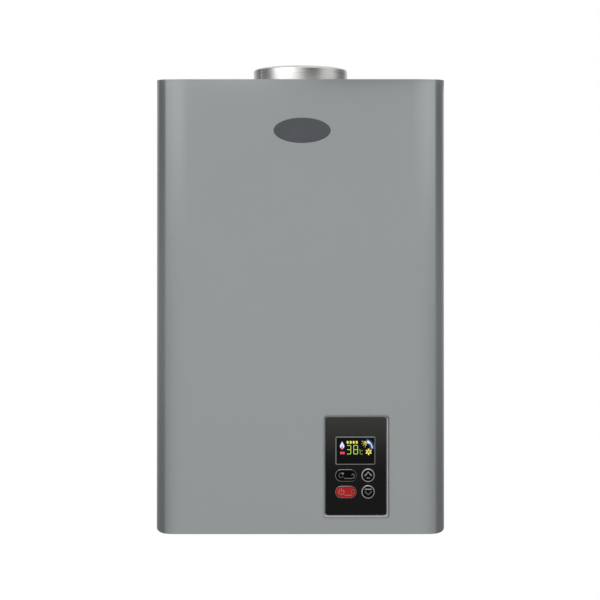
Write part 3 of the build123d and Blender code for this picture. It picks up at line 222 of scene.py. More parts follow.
# %% [markdown]
# ## Casing paint
# The cover has a silver-grey powder coat: fine metal flake under a satin skin, so its rounded
# edges turn dark where they mirror dark cloths beside it. The colour hardly changes over the
# sheet, so the skin is a small bump, a slight change of gloss and a little flake.

# %% Casing paint
def powder_coat(name, colour, flake):
    f = Finish(name)
    cloud = f.noise(9.0, 3.0)
    peel = f.noise(900.0)
    speck = f.noise(2400.0, 1.0).smooth(0.35, 0.65)
    tone = cloud * 0.4 + speck * 0.6
    return f.set({
        "Base Color": f.blend(toned(colour, 0.975), toned(colour, 1.025), tone),
        "Metallic": flake * 0.9 + flake * 0.2 * speck,
        "Roughness": 0.19 + 0.05 * peel,
        "Specular IOR Level": 0.3,
        "Normal": f.bump(peel, 0.03 * MM, 0.4),
    })


finishes["cover_paint"] = powder_coat("cover_paint", (0.288, 0.306, 0.311), 0.5)
finishes["motor_shell"] = powder_coat("motor_shell", (0.05, 0.05, 0.055), 0.1)
print("paint finishes:", sorted(finishes))

# %% [markdown]
# ## Sheet metals
# The chassis is galvanised, which shows a pattern of zinc crystals: a texture of cells gives
# each crystal its own tone. The collar is brushed stainless steel, with fine lines round it,
# so its noise is stretched along the angle and squeezed along the height.

# %% Sheet metals
def zinc_sheet():
    f = Finish("zinc_sheet")
    cells = {"Vector": f.place(), "Scale": 95.0}
    crystal = f.make("ShaderNodeTexVoronoi", None, cells, output="Color")
    tone = f.make("ShaderNodeSeparateColor", None, {0: crystal})
    fog = f.noise(14.0, 3.0)
    return f.set({
        "Base Color": f.blend((0.40, 0.41, 0.42), (0.60, 0.61, 0.62), tone * 0.7 + fog * 0.3),
        "Metallic": 0.85,
        "Roughness": 0.36 + 0.16 * tone,
        "Normal": f.bump(f.noise(500.0), 0.04 * MM, 0.4),
    })


def round_brushed(name, colour, centre_y):
    """Metal that is brushed round an upright axis at X = 0."""
    f = Finish(name)
    angle = (f.part(1) - centre_y).maths("ARCTAN2", f.part(0))
    along = f.make("ShaderNodeCombineXYZ", None, {0: angle * 0.02, 1: 0.0, 2: f.part(2) * 60.0})
    line = f.make("ShaderNodeTexNoise", None, {"Vector": along, "Scale": 42.0, "Detail": 5.0})
    return f.set({
        "Base Color": f.blend(toned(colour, 0.86), toned(colour, 1.1), line.smooth(0.3, 0.7)),
        "Metallic": 1.0,
        "Roughness": 0.24 + 0.08 * line,
        "Anisotropic": 0.5,
        "Normal": f.bump(line, 0.01 * MM, 0.1),
    })


collar_low, collar_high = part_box("flue_collar")
COLLAR_Y = (collar_low.y + collar_high.y) / 2
finishes["zinc_sheet"] = zinc_sheet()
finishes["stainless"] = round_brushed("stainless", (0.62, 0.62, 0.61), COLLAR_Y)
print("collar axis at y =", round(COLLAR_Y, 4))

# %% [markdown]
# ## Plain metals
# Copper, brass, cast alloy, ground steel and the thin rims share one recipe: a grain that is
# stretched the way the metal was worked, a little stain, and a gloss that follows.

# %% Plain metals
def worked_metal(name, colour, stain, rough, stretch=(1, 1, 1), scale=300.0):
    f = Finish(name)
    grain = f.noise(scale, 3.0, stretch)
    cloud = f.noise(26.0, 4.0).smooth(0.42, 0.72)
    clean = f.blend(toned(colour, 0.88), toned(colour, 1.08), grain)
    return f.set({
        "Base Color": f.blend(clean, stain, cloud * 0.35),
        "Metallic": 1.0,
        "Roughness": rough + 0.14 * grain + 0.12 * cloud,
        "Normal": f.bump(grain, 0.05 * MM, 0.4),
    })


METALS = {
    "copper": ((0.80, 0.38, 0.22), (0.33, 0.17, 0.11), 0.24, (1, 1, 0.2)),
    "brass": ((0.74, 0.53, 0.21), (0.42, 0.30, 0.14), 0.22, (1, 1, 6)),
    "cast_alloy": ((0.52, 0.53, 0.54), (0.38, 0.39, 0.40), 0.42),
    "steel": ((0.50, 0.50, 0.50), (0.36, 0.34, 0.32), 0.28, (4, 1, 1)),
    "wheel_alloy": ((0.62, 0.62, 0.62), (0.46, 0.45, 0.43), 0.3),
    "screw_zinc": ((0.62, 0.62, 0.60), (0.5, 0.48, 0.42), 0.26),
}
for name, recipe in METALS.items():
    finishes[name] = worked_metal(name, *recipe)

FINE_GRAIN = 900.0
FINE_TRIM = {
    "rim_metal": (0.22, 0.18, 0.2),
    "bright_rim": (0.33, 0.28, 0.2),
    "frame_metal": (0.23, 0.2, 0.3),
}
for name, (tone, stain, rough) in FINE_TRIM.items():
    finishes[name] = worked_metal(name, (tone,) * 3, (stain,) * 3, rough, scale=FINE_GRAIN)
print("metal finishes:", len(METALS) + len(FINE_TRIM))

# %% [markdown]
# ## Bezel metal
# The bezel is pressed aluminium. Its lip beside the fascia has the plain metal colour. Outside
# the lip, at the right and lower edges, a thin line is painted darker as a painted shadow, and its
# top edge is painted darker as painted shade. The distance to the bezel's edge sets where.

# %% Bezel metal
def painted_shade_trim(name, colour):
    """Metal with a painted shadow line at its right and lower edges and painted shade along its top
    edge.
    """
    low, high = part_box("panel_bezel")
    corner = 6.0 * MM
    shadow_line_start, shadow_line_end = (0.3 * MM, 1.0 * MM), (1.6 * MM, 2.3 * MM)
    top_shade_edge = (3.0 * MM, 6.0 * MM)
    f = Finish(name)
    grain = f.noise(700.0, 3.0, (1, 1, 0.3))
    beside = (f.part(0) - (high.x - corner)).maths("MAXIMUM", 0.0)
    below = (low.z + corner - f.part(2)).maths("MAXIMUM", 0.0)
    inset = corner - (beside * beside + below * below) ** 0.5
    # Painted shadow: the colour is darker in a thin line outside the lip at the right and lower edges.
    painted_shadow_line = inset.smooth(*shadow_line_start) * (1 - inset.smooth(*shadow_line_end))
    # Painted shade: the colour is darker along the top edge.
    top = 1 - (high.z - f.part(2)).smooth(*top_shade_edge)
    painted_shade = painted_shadow_line.maths("MAXIMUM", top)
    return f.set({
        "Base Color": f.blend(colour, toned(colour, 0.44), painted_shade * (0.85 + 0.3 * grain)),
        "Metallic": 1.0,
        "Roughness": 0.33 + 0.14 * grain,
        "Normal": f.bump(grain, 0.05 * MM, 0.4),
    })


finishes["silver_trim"] = painted_shade_trim("silver_trim", (0.45, 0.46, 0.46))
print("bezel finish made")

# %% [markdown]
# ## Plastics, rubber and print
# Moulded plastic has a fine leathery grain; the keys and the fascia are polished instead, and
# only dust and wiping marks change their gloss. The fascia's colour follows the height: lighter
# at its top edge and black from the screen down, and the lighter top is a painted reflection.

# %% Plastics, rubber and print
def moulded(name, colour, rough, grain_depth=0.05 * MM, shine=0.5):
    f = Finish(name)
    grain = f.noise(700.0, 3.0)
    cloud = f.noise(30.0)
    return f.set({
        "Base Color": f.blend(toned(colour, 0.85), toned(colour, 1.15), cloud),
        "Roughness": rough + 0.12 * grain,
        "Specular IOR Level": shine,
        "Normal": f.bump(grain, grain_depth, 0.5),
    })


MOULDED = {
    "black_plastic": ((0.03, 0.03, 0.032), 0.5),
    "coil_wrap": ((0.02, 0.05, 0.16), 0.4),
    "ceramic": ((0.80, 0.78, 0.72), 0.22, 0.02 * MM),
    "turbine_plastic": ((0.75, 0.75, 0.72), 0.4),
    "seal_rubber": ((0.045, 0.045, 0.045), 0.7, 0.1 * MM),
    "badge_metal": ((0.074, 0.08, 0.087), 0.45, 0.02 * MM, 0.25),
    "pale_print": ((0.34, 0.34, 0.335), 0.5, 0.01 * MM, 0.2),
    "grey_print": ((0.12, 0.12, 0.12), 0.5, 0.01 * MM, 0.2),
    "rose_print": ((0.42, 0.17, 0.15), 0.5, 0.01 * MM, 0.2),
}
for name, recipe in MOULDED.items():
    finishes[name] = moulded(name, *recipe)
print("moulded finishes:", len(MOULDED))

# %% Polished plastics
def polished(name, colour, gloss, shine=0.2):
    f = Finish(name)
    wiped = f.noise(60.0, 3.0, (1, 1, 3))
    return f.set({
        "Base Color": f.blend(toned(colour, 0.9), toned(colour, 1.1), wiped),
        "Roughness": gloss + 0.08 * wiped,
        "Specular IOR Level": shine,
    })


def painted_reflection_fascia():
    low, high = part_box("panel_fascia")
    f = Finish("painted_reflection_fascia")
    height = (f.part(2) - low.z) / (high.z - low.z)
    # Painted reflection: the base colour is lighter towards the top edge and black from the screen
    # down.
    painted_reflection_tone = f.make("ShaderNodeValToRGB", {"stops": [
        (0.0, (0.0034, 0.0034, 0.0034)),
        (0.44, (0.0038, 0.0038, 0.0038)),
        (0.62, (0.0105, 0.0105, 0.0105)),
        (0.80, (0.024, 0.0245, 0.0225)),
        (1.0, (0.037, 0.038, 0.033)),
    ]}, {0: height})
    wiped = f.noise(40.0, 3.0, (1, 1, 2))
    return f.set({"Base Color": painted_reflection_tone, "Roughness": 0.2 + 0.08 * wiped, "Specular IOR Level": 0.08})


finishes["black_gloss"] = polished("black_gloss", (0.0016, 0.0016, 0.0018), 0.14, 0.03)
finishes["red_gloss"] = polished("red_gloss", (0.41, 0.0095, 0.011), 0.2, 0.11)
finishes["lens"] = polished("lens", (0.0035, 0.0035, 0.0045), 0.1, 0.05)
finishes["lamp_dark"] = polished("lamp_dark", (0.004, 0.008, 0.007), 0.12)
finishes["fascia"] = painted_reflection_fascia()
print("finishes so far:", len(finishes))

# %% [markdown]
# ## Circuit boards
# A board is green lacquer over copper tracks. Two brick patterns would look drawn; the
# distance to the middle of square cells, with hard steps, gives short tracks and pads.

# %% Circuit boards
def circuit_board():
    f = Finish("circuit_board")
    cells = {"Vector": f.place(), "Scale": 190.0}
    cell = f.make("ShaderNodeTexVoronoi", {"distance": "CHEBYCHEV"}, cells)
    track = cell.smooth(0.30, 0.34) - cell.smooth(0.42, 0.46)
    return f.set({
        "Base Color": f.blend((0.018, 0.12, 0.045), (0.05, 0.23, 0.085), track),
        "Roughness": 0.3 + 0.15 * track,
        "Normal": f.bump(track, 0.08 * MM, 0.6),
    })


finishes["circuit_board"] = circuit_board()
print("board finish made")

# %% [markdown]
# ## Lit symbols
# The screen's symbols are lit from behind. Each is a thin plate that gives off its own
# colour; a fine noise darkens it a little, because such a screen is made of small dots.

# %% Lit symbols
def lit(name, colour):
    f = Finish(name)
    dots = f.noise(2600.0, 1.0).smooth(0.3, 0.7)
    return f.set({
        "Base Color": toned(colour, 0.2),
        "Roughness": 0.4,
        "Emission Color": f.blend(toned(colour, 0.8), toned(colour, 1.1), dots),
        "Emission Strength": 1.0,
    })


LIT = {
    "lit_lime": (0.50, 0.74, 0.045),
    "lit_dim": (0.15, 0.23, 0.045),
    "lit_yellow": (0.82, 0.74, 0.085),
    "lit_red": (0.74, 0.03, 0.09),
    "lit_white": (0.64, 0.74, 0.95),
    "lit_pink": (0.80, 0.12, 0.22),
    "lit_amber": (0.64, 0.53, 0.10),
    "lit_blue": (0.008, 0.055, 0.20),
}
for name, colour in LIT.items():
    finishes[name] = lit(name, colour)
print("lit finishes:", len(LIT))

# %% [markdown]
# ## Dressing the solids
# The record names one slot for each solid. A solid's own material list is swapped for the
# finish of its slot; the fascia has a finish of its own.

# %% Dress the solids
slot_of = {entry["node"]: entry["material_slot"] for entry in frame["record"]["subparts"]}
for node, solid in solids.items():
    finish = "fascia" if node == "panel_fascia" else slot_of[node]
    solid.data.materials.clear()
    solid.data.materials.append(finishes[finish])
print("dressed", len(solids), "solids")

# %% [markdown]
# ## Flat shapes and bands
# Trim, print and symbols are outlines in the plane of the front, given as (x, z) points. A
# slab is an outline pushed forward a little; a band is a profile swept round an outline; a
# stroke is a line with a width. Small parts like these are quicker and truer as meshes from
# points than as modified primitives.

# %% Outlines
def spread(start, end, steps):
    """Angles in even steps, from degrees to radians."""
    return [math.radians(start + (end - start) * i / steps) for i in range(steps + 1)]


def arc(x, z, across, up, start, end, steps):
    """Points of an oval arc round a point, with its half width and half height."""
    return [(x + across * math.cos(a), z + up * math.sin(a)) for a in spread(start, end, steps)]


def oblong(length, height, steps=20):
    r, half = height / 2, (length - height) / 2
    return arc(half, 0, r, r, -90, 90, steps) + arc(-half, 0, r, r, 90, 270, steps)


def disc(diameter, steps):
    return arc(0, 0, diameter / 2, diameter / 2, 0, 360, steps)[:-1]


def rounded(width, height, radius, steps=6):
    x, z = width / 2 - radius, height / 2 - radius
    points = []
    for corner_x, corner_z, start in ((x, -z, -90), (x, z, 0), (-x, z, 90), (-x, -z, 180)):
        points += arc(corner_x, corner_z, radius, radius, start, start + 90, steps)
    return points


def shift(points, x, z):
    return [(px + x, pz + z) for px, pz in points]


def in_place(outlines, x, z):
    """Outlines in millimetres, moved to a place in metres."""
    return [[(x + px * MM, z + pz * MM) for px, pz in outline] for outline in outlines]


def stroke(points, width):
    """Outline of a line of given width through points."""
    left, right = [], []
    for i, point in enumerate(points):
        before = Vector(points[max(i - 1, 0)])
        after = Vector(points[min(i + 1, len(points) - 1)])
        side = (after - before).normalized().orthogonal() * width / 2
        left.append(tuple(Vector(point) + side))
        right.append(tuple(Vector(point) - side))
    return left + right[::-1]


print("oblong of", len(oblong(0.02, 0.01)), "points")

# %% Pieces from outlines
def finish_piece(name, mesh, body, finish, smooth=True):
    """Makes an object of a mesh, gives it a finish and lets it ride on a body."""
    piece = bpy.data.objects.new(name, mesh)
    bpy.context.scene.collection.objects.link(piece)
    mesh.materials.append(finishes[finish])
    if smooth:
        mesh.shade_smooth()
        mesh.set_sharp_from_angle(angle=math.radians(35))
    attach(piece, body)
    return piece


def close_mesh(name, bm):
    """Turns the faces outward and makes a mesh of them."""
    bmesh.ops.recalc_face_normals(bm, faces=bm.faces)
    mesh = bpy.data.meshes.new(name)
    bm.to_mesh(mesh)
    bm.free()
    return mesh


def slabs(name, outlines, back, thick, body, finish):
    """Several outlines pushed forward from a plane, as one piece."""
    bm = bmesh.new()
    for outline in outlines:
        face = bm.faces.new([bm.verts.new((x, back, z)) for x, z in outline])
        pushed = bmesh.ops.extrude_face_region(bm, geom=[face])
        moved = [v for v in pushed["geom"] if isinstance(v, bmesh.types.BMVert)]
        bmesh.ops.translate(bm, verts=moved, vec=(0, -thick, 0))
    return finish_piece(name, close_mesh(name, bm), body, finish, smooth=False)


print("slabs ready")

# %% [markdown]
# ## Screen frame and key rims
# A thin grey frame lies round the screen, and a bright rim lies round each key: a slim one
# round the oblong keys and a fuller one round the round keys. All are less than a millimetre
# high, so they are bands on the fascia and not solids. A band can be thicker or thinner
# towards one side, because the photograph's rims are.

# %% Bands on the fascia
fascia_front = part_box("panel_fascia")[0].y


def fascia_band(name, outlines, profile, finish, lean, towards):
    """A closed profile of (outward, forward) points swept round closed outlines. The profile
    grows by the share lean where the outline faces a direction."""
    bm = bmesh.new()
    for outline in outlines:
        count = len(outline)
        rows = []
        for i, (x, z) in enumerate(outline):
            along = Vector(outline[(i + 1) % count]) - Vector(outline[i - 1])
            out = Vector((along.y, -along.x)).normalized()
            grow = 1 + lean * max(0.0, out.dot(Vector(towards)))
            row = []
            for outward, forward in profile:
                reach = outward * grow
                point = (x + out.x * reach, fascia_front - forward * grow, z + out.y * reach)
                row.append(bm.verts.new(point))
            rows.append(row)
        for i in range(count):
            here, there = rows[i], rows[(i + 1) % count]
            for j in range(len(profile)):
                k = (j + 1) % len(profile)
                bm.faces.new((here[j], there[j], there[k], here[k]))
    return finish_piece(name, close_mesh(name, bm), "heater", finish)


print("fascia front at y =", round(fascia_front, 4))

# %% Screen frame
FRAME_CORNER = 0.6 * MM
FRAME_WIDTH, FRAME_RISE = 1.4 * MM, 0.3 * MM
FRAME_LEAN, LOWER_RIGHT = -0.45, (0.6, -0.8)

lens_low, lens_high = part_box("display_lens")
screen = ((lens_low.x + lens_high.x) / 2, (lens_low.z + lens_high.z) / 2)
opening = rounded(lens_high.x - lens_low.x, lens_high.z - lens_low.z, FRAME_CORNER)
frame_line = shift(opening, *screen)
ridge = arc(FRAME_WIDTH / 2, 0, FRAME_WIDTH / 2, FRAME_RISE, 180, 0, 8)
fascia_band("screen_frame", [frame_line], ridge, "frame_metal", FRAME_LEAN, LOWER_RIGHT)
print("screen at", [round(v, 4) for v in screen])

# %% Key rims
KEYS = ("mode_button", "up_button", "power_button", "down_button")
FLANGE = 1.2 * MM  # how much wider a key is behind the fascia, all round
RIM_GAP = 0.25 * MM
key_places, key_caps, key_fronts = {}, {}, {}
for key in KEYS:
    low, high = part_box(key)
    key_places[key] = ((low.x + high.x) / 2, (low.z + high.z) / 2)
    key_caps[key] = (high.x - low.x - 2 * FLANGE, high.z - low.z - 2 * FLANGE)
    key_fronts[key] = low.y


def key_rims(name, keys, profile, finish, lean, towards):
    """Rims round some keys, with a profile in millimetres."""
    lines = []
    for key in keys:
        width, height = key_caps[key]
        lines.append(shift(oblong(width + 2 * RIM_GAP, height + 2 * RIM_GAP), *key_places[key]))
    ridge = [(outward * MM, forward * MM) for outward, forward in profile]
    fascia_band(name, lines, ridge, finish, lean, towards)


SLIM_RIM = ((0, 0), (0.1, 0.35), (0.25, 0.4), (0.4, 0.35), (0.75, 0))
FULL_RIM = ((0, 0), (0.1, 0.42), (0.25, 0.5), (0.45, 0.5), (1.35, 0))
LEFT, UP = (-1, 0), (0, 1)
key_rims("oblong_rims", ("mode_button", "power_button"), SLIM_RIM, "rim_metal", 0.5, LEFT)
key_rims("round_rims", ("up_button", "down_button"), FULL_RIM, "bright_rim", 0.2, UP)
print("keys at", {key: [round(v, 3) for v in place] for key, place in key_places.items()})

# %% [markdown]
# ## Figures and symbols on the screen
# The screen shows two figures of up to seven strokes, a degree sign with a C, a row of marks,
# a label of two blocks, a flame, a fan and a shower head with drops. Thin lit plates stay sharp
# from near and need no picture file. All are placed in millimetres from the screen's middle.

# %% Figures on the screen
STROKE_GAP = 0.25


def glyph(name, outlines, finish, back=0.02, thick=0.1):
    """Lit outlines on the lens, in millimetres; back is how deep in the lens they start."""
    placed = in_place(outlines, *screen)
    return slabs(name, placed, lens_low.y + back * MM, thick * MM, "heater", finish)


def seven_strokes(used, x, z, width, height, thick):
    """Outlines of the strokes of one figure, named a to g in the usual order."""
    top, low = z + height / 2, z - height / 2
    left, right = x - width / 2, x + width / 2
    gap = STROKE_GAP
    strokes = {
        "a": [(left + gap, top), (right - gap, top)],
        "b": [(right, z + gap), (right, top - gap)],
        "c": [(right, low + gap), (right, z - gap)],
        "d": [(left + gap, low), (right - gap, low)],
        "e": [(left, low + gap), (left, z - gap)],
        "f": [(left, z + gap), (left, top - gap)],
        "g": [(left + gap, z), (right - gap, z)],
    }
    return [stroke(strokes[letter], thick) for letter in used]


three = seven_strokes("abcdg", -8.7, 1.5, 5.0, 11.3, 0.8)
eight = seven_strokes("abcdefg", 0.2, 1.5, 5.2, 11.3, 0.8)
glyph("screen_figures", three + eight, "lit_lime")
degree = stroke(arc(5.5, 1.2, 0.7, 0.7, 0, 360, 14), 0.55)
letter_c = stroke(arc(8.0, -2.0, 1.9, 2.6, 45, 315, 14), 0.9)
glyph("screen_degree", [degree, letter_c], "lit_dim")
print("figures of", len(three) + len(eight), "strokes")

# %% Marks and flame on the screen
marks = [shift(rounded(2.4, 3.6, 0.9), -10.4 + 4.0 * i, 11.2) for i in range(4)]
glyph("screen_marks", marks, "lit_yellow")
label = [shift(rounded(2.8, 3.5, 0.8), -17.3 + side * 1.6, -2.8) for side in (-1, 1)]
glyph("screen_label", label, "lit_red")

FLAME_PLACE = (-17.7, 7.0)
flame = [
    (0.1, 5.3), (0.9, 3.6), (1.9, 1.9), (2.8, 0.0), (3.0, -1.6), (2.3, -3.2), (0.9, -4.1),
    (-0.8, -4.1), (-2.2, -3.2), (-2.9, -1.6), (-2.7, 0.0), (-1.8, 1.9), (-0.7, 3.6),
]
core = [(x * 0.52, z * 0.62 - 2.7) for x, z in flame]
glyph("screen_flame", [shift(flame, *FLAME_PLACE)], "lit_white")
glyph("screen_flame_core", [shift(core, *FLAME_PLACE)], "lit_pink", back=-0.07, thick=0.06)
print("flame of", len(flame), "points and", len(marks) + len(label), "marks")

# %% Fan and shower on the screen
FAN_PLACE = (17.3, -1.3)
blade = [(0.9, -0.3), (2.4, -1.0), (3.7, -0.95), (4.4, 0.0), (3.7, 0.95), (2.4, 1.0), (0.9, 0.3)]
blades = []
for turn in spread(30, 330, 5):
    c, s = math.cos(turn), math.sin(turn)
    blades.append(shift([(x * c - z * s, x * s + z * c) for x, z in blade], *FAN_PLACE))
glyph("screen_fan", blades, "lit_yellow")

arm = arc(13.8, 2.6, 8.2, 10.2, 70, 5, 14)
rose = [(15.2, 13.3), (16.6, 13.7), (18.6, 12.0), (19.2, 10.4), (17.9, 9.3), (16.2, 9.9), (15.2, 11.4)]
halo = arc(13.9, 2.6, 8.0, 10.2, 88, -2, 16)
glyph("screen_shower", [stroke(arm, 1.2), rose], "lit_white")
glyph("screen_shower_glow", [stroke(halo, 5.6)], "lit_blue", thick=0.05)

ROSE_X, ROSE_Z = 15.4, 11.6
random.seed(7)
drops = []
for a in spread(172, 246, 3):
    for step in range(4):
        away = 2.2 + 1.7 * step + random.uniform(-0.3, 0.3)
        size = 1.7 - 0.25 * step
        drop_x, drop_z = ROSE_X + away * math.cos(a), ROSE_Z + away * math.sin(a)
        drops.append(shift(disc(size, 10), drop_x, drop_z))
glyph("screen_drops", drops, "lit_amber")
print(len(blades), "blades and", len(drops), "drops")

# %% [markdown]
# ## Signs on the keys
# The keys carry printed signs: a circling arrow and a tap on the mode key, the usual on/off
# sign on the red key with a small lamp beside it, and arrow heads on the round keys. They are
# thin plates too. A sign rides on its own key, so it moves when the key is pressed.

# %% Signs on the oblong keys
PRINT_SUNK, PRINT_THICK = 0.02 * MM, 0.06 * MM


def sign(name, key, outlines, finish="pale_print"):
    """Printed outlines on a key's cap, in millimetres from its middle."""
    placed = in_place(outlines, *key_places[key])
    return slabs(name, placed, key_fronts[key] + PRINT_SUNK, PRINT_THICK, key, finish)


circle = stroke(arc(-6.4, 0.2, 3.0, 3.0, 70, 340, 18), 0.9)
tap = stroke([
    (-2.4, -3.8), (8.2, -3.8), (10.4, -2.6), (11.0, -0.8),
    (10.6, 1.2), (9.2, 2.1), (7.9, 1.4), (7.7, 0.2),
], 1.2)
sign("mode_sign", "mode_button", [circle, tap], "grey_print")
sign("mode_arrow", "mode_button", [[(-5.3, 4.4), (-2.4, 2.4), (-4.9, 0.9)]])

ring = stroke(arc(-6.0, 0.3, 3.4, 3.4, 118, 422, 18), 0.9)
bar = stroke([(-6.0, 0.3), (-6.0, 4.8)], 0.9)
lamp_x, lamp_z = 9.2, 0.6
lamp_ring = stroke(arc(lamp_x, lamp_z, 1.9, 1.9, 0, 352, 24), 0.5)
sign("power_sign", "power_button", [ring, bar], "rose_print")
sign("power_line", "power_button", [stroke([(-2.2, -4.0), (7.8, -4.0)], 0.9)], "rose_print")
sign("power_lamp", "power_button", [shift(disc(3.0, 24), lamp_x, lamp_z)], "lamp_dark")
sign("power_lamp_ring", "power_button", [lamp_ring], "rose_print")
print("signs on the oblong keys")

# %% Signs on the round keys
arrow_up = stroke([(-4.4, -0.4), (0.1, 4.5), (4.6, -0.4)], 1.6)
arrow_down = stroke([(-4.4, 1.0), (0.1, -3.6), (4.6, 1.0)], 1.6)
sign("up_sign", "up_button", [arrow_up, stroke([(-2.2, -3.2), (2.2, -3.2)], 0.9)])
sign("down_bar", "down_button", [stroke([(-4.4, 3.7), (4.6, 3.7)], 1.3)])
sign("down_sign", "down_button", [arrow_down], "grey_print")
print("signs on the round keys")

# %% [markdown]
# ## Cover screws
# Four pan-head screws hold the cover's folds to the chassis, two on the top and two below.
# A cut could make the socket of the head, but it leaves ragged faces on so small a piece. The
# head is a round grid of points whose height is a dome less a cross-shaped socket.

# %% Cover screws
SCREW_RADIUS, SCREW_HEIGHT = 4.0 * MM, 2.2 * MM
DOME_DROP = 0.75
SOCKET_DEPTH, SOCKET_HALF, SOCKET_REACH = 0.55, 0.13, 0.62  # shares of the height and the radius


def head_height(r, a):
    """Height of the head as a share, at a share of its radius and an angle."""
    near, far = sorted((abs(r * math.cos(a)), abs(r * math.sin(a))))
    dome = math.sqrt(1 - DOME_DROP * r ** 4) if r < 1 else 0.0
    socket = SOCKET_DEPTH if near < SOCKET_HALF and far < SOCKET_REACH else 0.0
    return dome - socket


def screw(name, x, y, z, up, rings=14, turns=48):
    """A pan head that stands on the plane at height z and points up or down."""
    bm = bmesh.new()
    rows = []
    for i in range(rings + 1):
        r = i / rings
        row = []
        for a in spread(0, 360, turns)[:-1]:
            reach, rise = r * SCREW_RADIUS, up * SCREW_HEIGHT * head_height(r, a)
            row.append(bm.verts.new((x + reach * math.cos(a), y + reach * math.sin(a), z + rise)))
        rows.append(row)
    for inner, outer in zip(rows, rows[1:]):
        for j in range(turns):
            k = (j + 1) % turns
            bm.faces.new((inner[j], outer[j], outer[k], inner[k]))
    bmesh.ops.remove_doubles(bm, verts=bm.verts, dist=1e-6)
    return finish_piece(name, close_mesh(name, bm), "heater", "screw_zinc")


base_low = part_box("base_plate")[0]
SCREW_INSET, SCREW_BACK = 6 * MM, 34 * MM
FOLD = 1 * MM
for side in (-1, 1):
    x = side * (cover_high.x - SCREW_INSET)
    screw(f"top_screw_{side + 1}", x, -SCREW_BACK, cover_high.z, 1)
    screw(f"base_screw_{side + 1}", x, -SCREW_BACK, base_low.z - FOLD, -1)
print("four cover screws")

# %% [markdown]
# ## Collar seam
# The collar is a strip bent round and lapped, so a narrow upright ridge shows at its left. A
# solid this thin would be a sliver, so the ridge is a curved strip just proud of the collar.

# %% Collar seam
COLLAR_RADIUS = 63.5 * MM
SEAM_START, SEAM_END = -58, -54  # degrees from the front
SEAM_STEPS = 6
SEAM_THICK = 0.25 * MM
SEAM_FOOT = cover_high.z + 0.4 * MM
SEAM_HEAD = collar_high.z - 3.4 * MM

bm = bmesh.new()
rows = []
for i, a in enumerate(spread(SEAM_START, SEAM_END, SEAM_STEPS)):
    r = COLLAR_RADIUS + (SEAM_THICK if 0 < i < SEAM_STEPS else -SEAM_THICK)
    x, y = r * math.sin(a), COLLAR_Y - r * math.cos(a)
    rows.append([bm.verts.new((x, y, z)) for z in (SEAM_FOOT, SEAM_HEAD)])
for here, there in zip(rows, rows[1:]):
    bm.faces.new((here[0], there[0], there[1], here[1]))
finish_piece("collar_seam", close_mesh("collar_seam", bm), "heater", "stainless")
print("collar seam of", len(rows), "rows")

# %% [markdown]
# ## Pipe threads
# The three stubs end in half-inch pipe threads. A helix of small ridges on the plain
# cylinder of the solid shows them; cutting grooves would mean replacing the solid.

# %% Pipe threads
THREAD_RADIUS = 20.955 / 2 * MM
THREAD_PITCH = 1.814 * MM
CREST, ROOT = 0.32 * MM, -0.05 * MM
THREAD_STEPS = 40
RIDGE = ((ROOT, -0.42), (CREST, -0.08), (CREST, 0.08), (ROOT, 0.42))  # outward, and along in pitches


def thread(name, x, y, low, high):
    """A ridge that winds round an upright axis and fades out at both ends."""
    bm = bmesh.new()
    turns = (high - low) / THREAD_PITCH
    rows = []
    for i in range(int(turns * THREAD_STEPS) + 1):
        turn = i / THREAD_STEPS
        a = 2 * math.pi * turn
        fade = min(1.0, turn, turns - turn)
        row = []
        for outward, along in RIDGE:
            r = THREAD_RADIUS + outward * fade
            z = low + (turn + along) * THREAD_PITCH
            row.append(bm.verts.new((x + r * math.cos(a), y + r * math.sin(a), z)))
        rows.append(row)
    for here, there in zip(rows, rows[1:]):
        for j in range(len(RIDGE) - 1):
            bm.faces.new((here[j], there[j], there[j + 1], here[j + 1]))
    return finish_piece(name, close_mesh(name, bm), "heater", "brass")


THREAD_START, THREAD_STOP = 1.2 * MM, 2.4 * MM  # from the stub's end and from the base plate
for stub in ("gas_inlet", "water_inlet", "water_outlet"):
    low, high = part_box(stub)
    across_flats = high.y - low.y
    x = high.x - across_flats / math.sqrt(3)
    y = (low.y + high.y) / 2
    thread(f"{stub}_thread", x, y, low.z + THREAD_START, base_low.z - THREAD_STOP)
print("three threads")

# %% [markdown]
# ## Light and floor
# A catalogue picture is lit by large soft lamps: one in front, and one far out on each side
# that fills the sides of the casing. One more lamp is only mirrored, and shines on the rims of
# the keys. The world is white to the camera and to mirrors, and dimmer as a light. The floor
# is white paper that takes a faint shadow and can be looked through from below.

# %% World
SKY_LIGHT = 0.45

world = bpy.data.worlds.new("studio")
bpy.context.scene.world = world
world.use_nodes = True
studio = Graph(world.node_tree)
white = studio.make("ShaderNodeBackground", None, {"Color": (1, 1, 1), "Strength": 1.0})
soft = studio.make("ShaderNodeBackground", None, {"Color": (1, 1, 1), "Strength": SKY_LIGHT})
sky = studio.make("ShaderNodeMixShader", None, {0: studio.seen(), 1: soft, 2: white})
studio.feed(world.node_tree.nodes["World Output"].inputs["Surface"], sky)
print("world of", len(world.node_tree.nodes), "nodes")

# %% Lamps
def soft_lamp(name, place, aim, width, height, power, mirrored=True, lights=True):
    """A soft box. One that isn't mirrored only lights; one that doesn't light is only mirrored."""
    data = bpy.data.lights.new(name, "AREA")
    data.shape = "RECTANGLE"
    data.size, data.size_y, data.energy = width, height, power
    lamp = bpy.data.objects.new(name, data)
    lamp.location = place
    lamp.rotation_euler = (Vector(aim) - Vector(place)).to_track_quat("-Z", "Y").to_euler()
    lamp.visible_glossy = mirrored
    lamp.visible_diffuse = lights
    bpy.context.scene.collection.objects.link(lamp)


